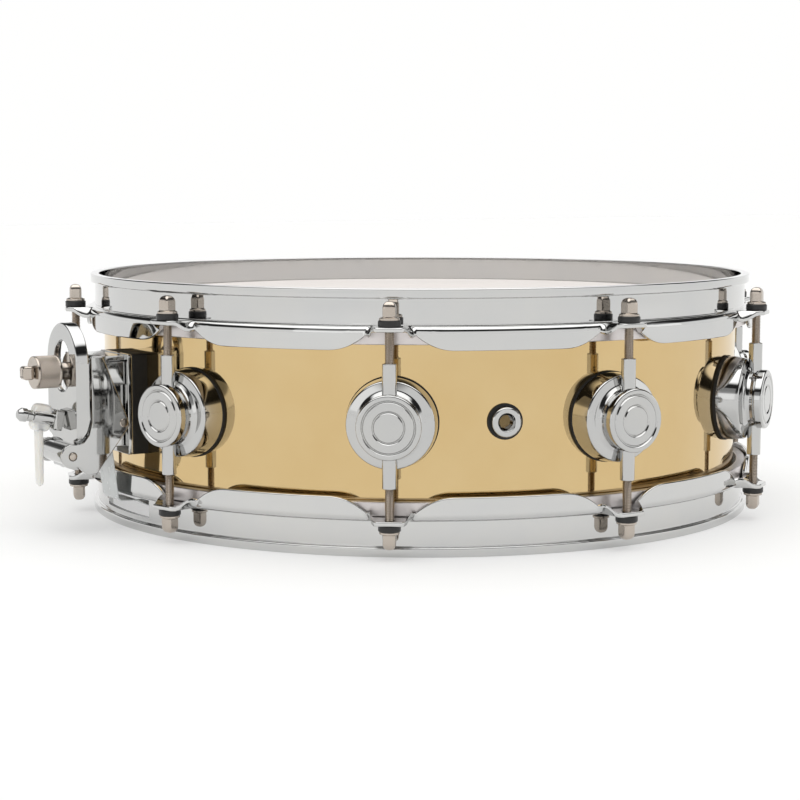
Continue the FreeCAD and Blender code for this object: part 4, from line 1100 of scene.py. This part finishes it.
def strap_surface(s, half, side):
    """A strip along a route of reach and height: the route is rounded, moved half a thickness to
    each side, and carried across the strip's width."""
    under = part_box("snare_end_plates")[0].z / MM - 0.2
    route = rounded(mm((152.0, under), (174.0, under), (179.6, 14.7), (188.9, 15.0), (190.4, 16.6),
                       (193.4, 42.0), (193.4, 55.6)), mm(0, 6, 6, 1.2, 1.2, 12, 0), 8)
    way = np.gradient(route, axis=0)
    way /= np.linalg.norm(way, axis=1)[:, None]
    normal = np.stack([-way[:, 1], way[:, 0]], axis=-1) * s.strap / 2
    loop = np.concatenate([route + normal, (route - normal)[::-1]])
    made = slab(loop, -half, half, 0.0, ACROSS_STRAINER)
    return made if side < 0 else half_turned(made)


def strands_surface(s, centre):
    """Coiled wires: each is a helix about a line along X, with a three-sided section."""
    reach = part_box("snare_strands")[1].x
    turns = 2 * reach / s.lead
    share = np.linspace(0, 1, int(turns * 7) + 1)
    turn = share * turns * 2 * math.pi
    path = np.stack([reach * (2 * share - 1), s.coil * np.cos(turn), s.coil * np.sin(turn)],
                    axis=-1)
    path[:, 0] *= (reach - s.wire) / reach
    points, lists = tube_along(path, s.wire, 3, (1.0, 0.0, 0.0))
    first = -(s.strands - 1) / 2 * s.pitch
    offset = np.zeros((s.strands, 1, 3))
    offset[:, 0, 1] = first + np.arange(s.strands) * s.pitch
    offset[:, 0, 2] = centre
    shift = (np.arange(s.strands) * len(points))[:, None, None]
    return (points[None] + offset).reshape(-1, 3), [(f[None] + shift).reshape(-1, f.shape[1])
                                                    for f in lists]


# ---- operators -----------------------------------------------------------------------------------

def lever_pivot():
    centre = middle_of("lever_pin")
    return -centre.x, centre.z


class DrumOperator:
    bl_options = {"REGISTER"}


class DRUM_OT_shell(DrumOperator, bpy.types.Operator):
    """Makes the brass shell with its turned edges and vent hole"""
    bl_idname = "drum.shell"
    bl_label = "Shell"

    def execute(self, context):
        piece("brass_shell", shell_surface(context.scene.drum_shell), finish(BRASS), ["shell"])
        return {"FINISHED"}


class DRUM_OT_heads(DrumOperator, bpy.types.Operator):
    """Makes both heads and their flesh hoops"""
    bl_idname = "drum.heads"
    bl_label = "Heads"

    def execute(self, context):
        head = head_surface(context.scene.drum_shell)
        piece("top_film", head, finish(COATED_FILM), ["batter_head"])
        piece("bottom_film", turned_over(head), finish(CLEAR_FILM), ["snare_head"])
        hoop = flesh_surface()
        piece("top_flesh_ring", hoop, finish(ALUMINIUM), ["batter_flesh_hoop"])
        piece("bottom_flesh_ring", turned_over(hoop), finish(ALUMINIUM), ["snare_flesh_hoop"])
        return {"FINISHED"}


class DRUM_OT_hoops(DrumOperator, bpy.types.Operator):
    """Makes both counter hoops, the lower one with gates for the straps"""
    bl_idname = "drum.hoops"
    bl_label = "Hoops"

    def execute(self, context):
        s = context.scene.drum_hoop
        piece("top_hoop", hoop_surface(s, False), finish(STEEL_CHROME), ["batter_hoop"])
        piece("bottom_hoop", turned_over(hoop_surface(s, True)), finish(STEEL_CHROME),
              ["snare_hoop"])
        return {"FINISHED"}


class DRUM_OT_rods(DrumOperator, bpy.types.Operator):
    """Makes the twenty tension rods, each on its own body, and their washers"""
    bl_idname = "drum.rods"
    bl_label = "Rods"

    def execute(self, context):
        s = context.scene.drum_rod
        rod = rod_surface(s)
        for side, made in (("batter", rod), ("snare", turned_over(rod))):
            for number, turn in enumerate(ROD_TURNS):
                node_name = f"{side}_rod_{number:02d}"
                local = spun(made, turn)
                centre = middle_of(node_name)
                placed = local[0] + (centre.x, centre.y, 0), local[1]
                piece(f"{side}_tension_rod_{number:02d}", placed, finish(NICKEL), [node_name],
                      node_name)
        one = washer_surface(s)
        one = one[0] + (0, -ROD_REACH, 0), one[1]
        piece("nylon_washers", both_sides(spun(one, ROD_TURNS)), finish(BLACK_NYLON),
              ["rod_washers"])
        return {"FINISHED"}


class DRUM_OT_lugs(DrumOperator, bpy.types.Operator):
    """Makes the rubber seats, turned turrets and cross tubes of the ten lugs"""
    bl_idname = "drum.lugs"
    bl_label = "Lugs"

    def execute(self, context):
        s = context.scene.drum_lug
        seats = spun(seat_surface(s.seat, s.seat_thick), ROD_TURNS)
        piece("lug_rubber_seats", seats, finish(RUBBER), ["lug_seats"])
        piece("lug_turned_turrets", spun(turret_surface(s), ROD_TURNS), finish(CAST_CHROME),
              ["lug_turrets"])
        lo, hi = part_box("lug_tubes")
        tube = ring(s.bore, s.tube, lo.z, hi.z, 0.45 * MM, 48)
        tube = tube[0] + (0, -ROD_REACH, 0), tube[1]
        piece("lug_cross_tubes", spun(tube, ROD_TURNS), finish(CAST_CHROME), ["lug_tubes"])
        finish_cad(finish(ZINC), "lug_screws", "lug_screw_washers")
        return {"FINISHED"}


class DRUM_OT_vent(DrumOperator, bpy.types.Operator):
    """Makes the air vent's grommet on its rubber ring"""
    bl_idname = "drum.vent"
    bl_label = "Vent"

    def execute(self, context):
        pad = seat_surface(8.85 * MM, 1.3 * MM, 5.25 * MM)
        piece("vent_rubber_ring", spun(pad, VENT_TURN), finish(RUBBER), ["vent_seat"])
        piece("vent_turned_ring", spun(vent_surface(), VENT_TURN), finish(CAST_CHROME),
              ["vent_grommet"])
        finish_cad(finish(ZINC), "vent_nut", "mount_screws")
        return {"FINISHED"}


class DRUM_OT_strainer(DrumOperator, bpy.types.Operator):
    """Makes the throw-off: rubber spacer, base, lever and sliding carriage"""
    bl_idname = "drum.strainer"
    bl_label = "Throw-off"

    def execute(self, context):
        s = context.scene.drum_strainer
        pivot = lever_pivot()
        lo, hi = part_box("strainer_spacer")
        piece("strainer_rubber_spacer", moved(spacer_surface(s.half, lo.z, hi.z, 185 * MM),
                                              AT_STRAINER), finish(RUBBER), ["strainer_spacer"])
        piece("strainer_cast_base", base_surface(s, pivot), finish(CAST_CHROME),
              ["strainer_base"])
        lever = join(outward(lever_surface(s, pivot)), outward(peg_surface()))
        piece("strainer_cast_lever", lever, finish(CAST_CHROME), ["strainer_lever"], "lever")
        piece("lever_hinge_pin", pin_surface(s, pivot), finish(NICKEL), ["lever_pin"])
        near, far = reach_of("lever_keeper")
        piece("lever_steel_keeper", disc_at(near, far, 7.5 * MM, BARREL_HEIGHT, 0.3 * MM),
              finish(NICKEL), ["lever_keeper"], "lever")
        piece("strainer_cast_carriage", carriage_surface(s), finish(CAST_CHROME),
              ["strap_carriage"], "carriage")
        near, far = reach_of("catch_magnet")
        piece("carriage_magnet", disc_at(near, far, 5.98 * MM, BARREL_HEIGHT, 0.4 * MM),
              finish(NICKEL), ["catch_magnet"], "carriage")
        near, far = reach_of("strap_clamp")
        clamp = slab(box_loop(-12 * MM, 12 * MM, STRAP_MIDDLE - 5 * MM, STRAP_MIDDLE + 5 * MM,
                              1 * MM), near, far, 0.4 * MM, AT_STRAINER)
        piece("strap_clamp_bar", clamp, finish(CAST_CHROME), ["strap_clamp"], "carriage")
        far_head = reach_of("strap_clamp_screws")[1]
        heads = join(*[screw_head(far, far_head, 2.8 * MM, STRAP_MIDDLE, y * MM)
                       for y in (-7.5, 7.5)])
        piece("strap_clamp_heads", heads, finish(ZINC), ["strap_clamp_screws"], "carriage")
        return {"FINISHED"}


class DRUM_OT_adjuster(DrumOperator, bpy.types.Operator):
    """Makes the knurled tension adjuster with its screw, washer and spring"""
    bl_idname = "drum.adjuster"
    bl_label = "Adjuster"

    def execute(self, context):
        s = context.scene.drum_strainer
        piece("adjuster_knurled_knob", knob_surface(s), finish(NICKEL), ["adjuster_knob"], "knob")
        near, far = reach_of("adjuster_screw")
        shank = disc_at(near, 232.3 * MM, 2.5 * MM, KNOB_HEIGHT, 0.3 * MM)
        nub = slab(box_loop(-3.5 * MM, 3.5 * MM, KNOB_HEIGHT - 3.5 * MM, KNOB_HEIGHT + 3.5 * MM,
                            1.2 * MM), 232.0 * MM, far, 1.8 * MM, AT_STRAINER)
        piece("adjuster_turned_screw", join(outward(shank), outward(nub)), finish(NICKEL),
              ["adjuster_screw"], "knob")
        near, far = reach_of("adjuster_washer")
        piece("adjuster_steel_washer", disc_at(near, far, 9.6 * MM, KNOB_HEIGHT, 0.3 * MM,
                                               bore=2.52 * MM), finish(NICKEL),
              ["adjuster_washer"], "knob")
        piece("adjuster_wire_spring", spring_surface(), finish(ZINC), ["adjuster_spring"],
              "carriage")
        return {"FINISHED"}


class DRUM_OT_key(DrumOperator, bpy.types.Operator):
    """Makes the drum key that parks on the lever"""
    bl_idname = "drum.key"
    bl_label = "Key"

    def execute(self, context):
        piece("key_steel_socket", key_socket_surface(), finish(CAST_CHROME), ["key_socket"], "key")
        piece("key_nylon_grip", key_grip_surface(), finish(WHITE_NYLON), ["key_grip"], "key")
        return {"FINISHED"}


class DRUM_OT_butt(DrumOperator, bpy.types.Operator):
    """Makes the butt plate with its spacer, block, clamp and screws"""
    bl_idname = "drum.butt"
    bl_label = "Butt plate"

    def execute(self, context):
        s = context.scene.drum_strainer
        lo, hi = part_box("butt_spacer")
        spacer = moved(spacer_surface(17 * MM, lo.z, hi.z, 181 * MM), AT_STRAINER)
        piece("butt_rubber_spacer", half_turned(spacer), finish(RUBBER), ["butt_spacer"])
        outline = rounded(mm((181.0, 41.0), (192.0, 41.0), (193.2, 42.2), (193.2, 60.0),
                             (190.0, 70.0), (187.0, 73.0), (181.0, 73.0)),
                          mm(0.5, 0.8, 0.8, 4, 4, 2, 0.5), 5, closed=True)
        block = slab(outline, -16 * MM, 16 * MM, 1.2 * MM, ACROSS_STRAINER)
        piece("butt_cast_block", half_turned(block), finish(CAST_CHROME), ["butt_block"])
        lo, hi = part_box("butt_clamp")
        clamp = slab(box_loop(lo.y, hi.y, lo.z, hi.z, 1 * MM), lo.x, hi.x, s.edge, AT_STRAINER)
        piece("butt_clamp_bar", half_turned(clamp), finish(CAST_CHROME), ["butt_clamp"])
        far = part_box("butt_clamp_screws")[1].x
        heads = join(*[screw_head(hi.x, far, 3 * MM, (lo.z + hi.z) / 2, y * MM)
                       for y in (-7.5, 7.5)])
        piece("butt_clamp_heads", half_turned(heads), finish(ZINC), ["butt_clamp_screws"])
        return {"FINISHED"}


class DRUM_OT_snares(DrumOperator, bpy.types.Operator):
    """Makes the coiled snares, their end plates and the two straps"""
    bl_idname = "drum.snares"
    bl_label = "Snares"

    def execute(self, context):
        s = context.scene.drum_snare
        centre = middle_of("snare_strands").z
        piece("snare_coiled_wires", strands_surface(s, centre), finish(WIRE), ["snare_strands"],
              soften=False)
        lo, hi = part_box("snare_end_plates")
        loop = box_loop(150 * MM, hi.x, lo.y, hi.y, 1.5 * MM)
        end = plate(loop, lo.z, hi.z, 0.4 * MM)
        piece("snare_solder_plates", join(end, half_turned(end)), finish(WIRE),
              ["snare_end_plates"])
        half = (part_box("butt_strap")[1].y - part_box("butt_strap")[0].y) / 2
        piece("butt_side_strap", strap_surface(s, half, 1), finish(STRAP_FILM), ["butt_strap"])
        strap = piece("strainer_side_strap", strap_surface(s, half, -1), finish(STRAP_FILM),
                      ["strainer_strap"], body=None, soften=False)
        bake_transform(strap)
        return {"FINISHED"}


class DRUM_OT_stage(DrumOperator, bpy.types.Operator):
    """Makes the floor, the soft light and the camera"""
    bl_idname = "drum.stage"
    bl_label = "Stage"

    def execute(self, context):
        s = context.scene.drum_stage
        across = np.linspace(-s.floor_half, s.floor_half, 9)
        x, y = np.meshgrid(across, across, indexing="ij")
        points, lists = grid(np.stack([x, y, 0 * x], axis=-1))
        mesh = bpy.data.meshes.new("pale_floor")
        mesh.from_pydata(points.tolist(), [], lists[0].tolist())
        floor = bpy.data.objects.new("pale_floor", mesh)
        context.scene.collection.objects.link(floor)
        tree, surface = new_material("Acrylic sheet, white, lit from below", Roughness=0.85)
        surface.inputs["Base Color"].default_value = (*s.floor, 1)
        surface.inputs["Emission Color"].default_value = (1, 1, 1, 1)
        surface.inputs["Emission Strength"].default_value = s.glow
        surface.inputs["Specular IOR Level"].default_value = 0.15
        mesh.materials.append(bpy.data.materials["Acrylic sheet, white, lit from below"])

        world = bpy.data.worlds.new("soft_studio")
        context.scene.world = world
        world.use_nodes = True
        tree = world.node_tree
        tree.nodes.clear()
        coords = add(tree, "ShaderNodeTexCoord")
        split = add(tree, "ShaderNodeSeparateXYZ", links={"Vector": coords.outputs["Generated"]})
        ramp = add(tree, "ShaderNodeValToRGB", links={0: split.outputs["Z"]})
        # height of the direction -> brightness: white walls, a dark gap, and a bright ceiling
        stops = [(0.0, 1.0), (0.26, 1.0), (0.34, 0.12), (0.42, 0.02), (0.66, 0.03), (0.78, 1.8),
                 (1.0, 2.1)]
        band = ramp.color_ramp
        band.interpolation = "EASE"
        while len(band.elements) < len(stops):
            band.elements.new(0.5)
        for element, (place, level) in zip(band.elements, stops):
            element.position = place
            element.color = (level, level, level * 0.995, 1)
        light = add(tree, "ShaderNodeBackground", {"Strength": s.sky},
                    {"Color": ramp.outputs["Color"]})
        add(tree, "ShaderNodeOutputWorld", links={"Surface": light.outputs["Background"]})

        # each panel: name, watts, width, depth, place, and the point that it faces
        for name, power, width, depth, place, aim in (
                ("top_panel", s.top, 1.6, 1.2, (0.0, -0.1, 1.3), (0, 0, 0)),
                ("left_panel", s.side, 0.8, 1.0, (-1.5, -0.9, 0.6), (0, 0, 0.06)),
                ("right_panel", s.side, 0.8, 1.0, (1.4, -1.2, 0.6), (0, 0, 0.06))):
            data = bpy.data.lights.new(name, "AREA")
            data.shape = "RECTANGLE"
            data.size = width
            data.size_y = depth
            data.energy = power
            made = bpy.data.objects.new(name, data)
            context.scene.collection.objects.link(made)
            made.location = place
            made.rotation_euler = (Vector(aim) - Vector(place)).to_track_quat("-Z", "Y").to_euler()

        data = bpy.data.cameras.new("camera")
        data.sensor_width = 36.0
        data.lens = s.lens
        data.clip_end = 50
        camera = bpy.data.objects.new("camera", data)
        context.scene.collection.objects.link(camera)
        camera.location = CAMERA_PLACE
        camera.rotation_euler = Vector(CAMERA_LOOK).to_track_quat("-Z", "Y").to_euler()
        context.scene.camera = camera
        context.scene.view_settings.view_transform = "Standard"
        return {"FINISHED"}


OPERATORS = (DRUM_OT_shell, DRUM_OT_heads, DRUM_OT_hoops, DRUM_OT_rods, DRUM_OT_lugs,
             DRUM_OT_vent, DRUM_OT_strainer, DRUM_OT_adjuster, DRUM_OT_key, DRUM_OT_butt,
             DRUM_OT_snares, DRUM_OT_stage)
SETTINGS = {
    "drum_shell": DrumShellSettings,
    "drum_hoop": DrumHoopSettings,
    "drum_rod": DrumRodSettings,
    "drum_lug": DrumLugSettings,
    "drum_strainer": DrumStrainerSettings,
    "drum_snare": DrumSnareSettings,
    "drum_finish": DrumFinishSettings,
    "drum_stage": DrumStageSettings,
}


class DRUM_PT_pieces(bpy.types.Panel):
    """Lists the operators that make the drum"""
    bl_idname = "DRUM_PT_pieces"
    bl_label = "Snare Drum"
    bl_space_type = "VIEW_3D"
    bl_region_type = "UI"
    bl_category = "Snare Drum"

    def draw(self, context):
        for operator in OPERATORS:
            self.layout.operator(operator.bl_idname)


def register():
    for made in (*SETTINGS.values(), *OPERATORS, DRUM_PT_pieces):
        bpy.utils.register_class(made)
    for name, group in SETTINGS.items():
        setattr(bpy.types.Scene, name, PointerProperty(type=group))


def unregister():
    for name in SETTINGS:
        delattr(bpy.types.Scene, name)
    for made in (DRUM_PT_pieces, *reversed(OPERATORS), *SETTINGS.values()):
        bpy.utils.unregister_class(made)


def main():
    register()
    for operator in OPERATORS:
        family, action = operator.bl_idname.split(".")
        getattr(getattr(bpy.ops, family), action)()


if __name__ == "__main__":
    main()
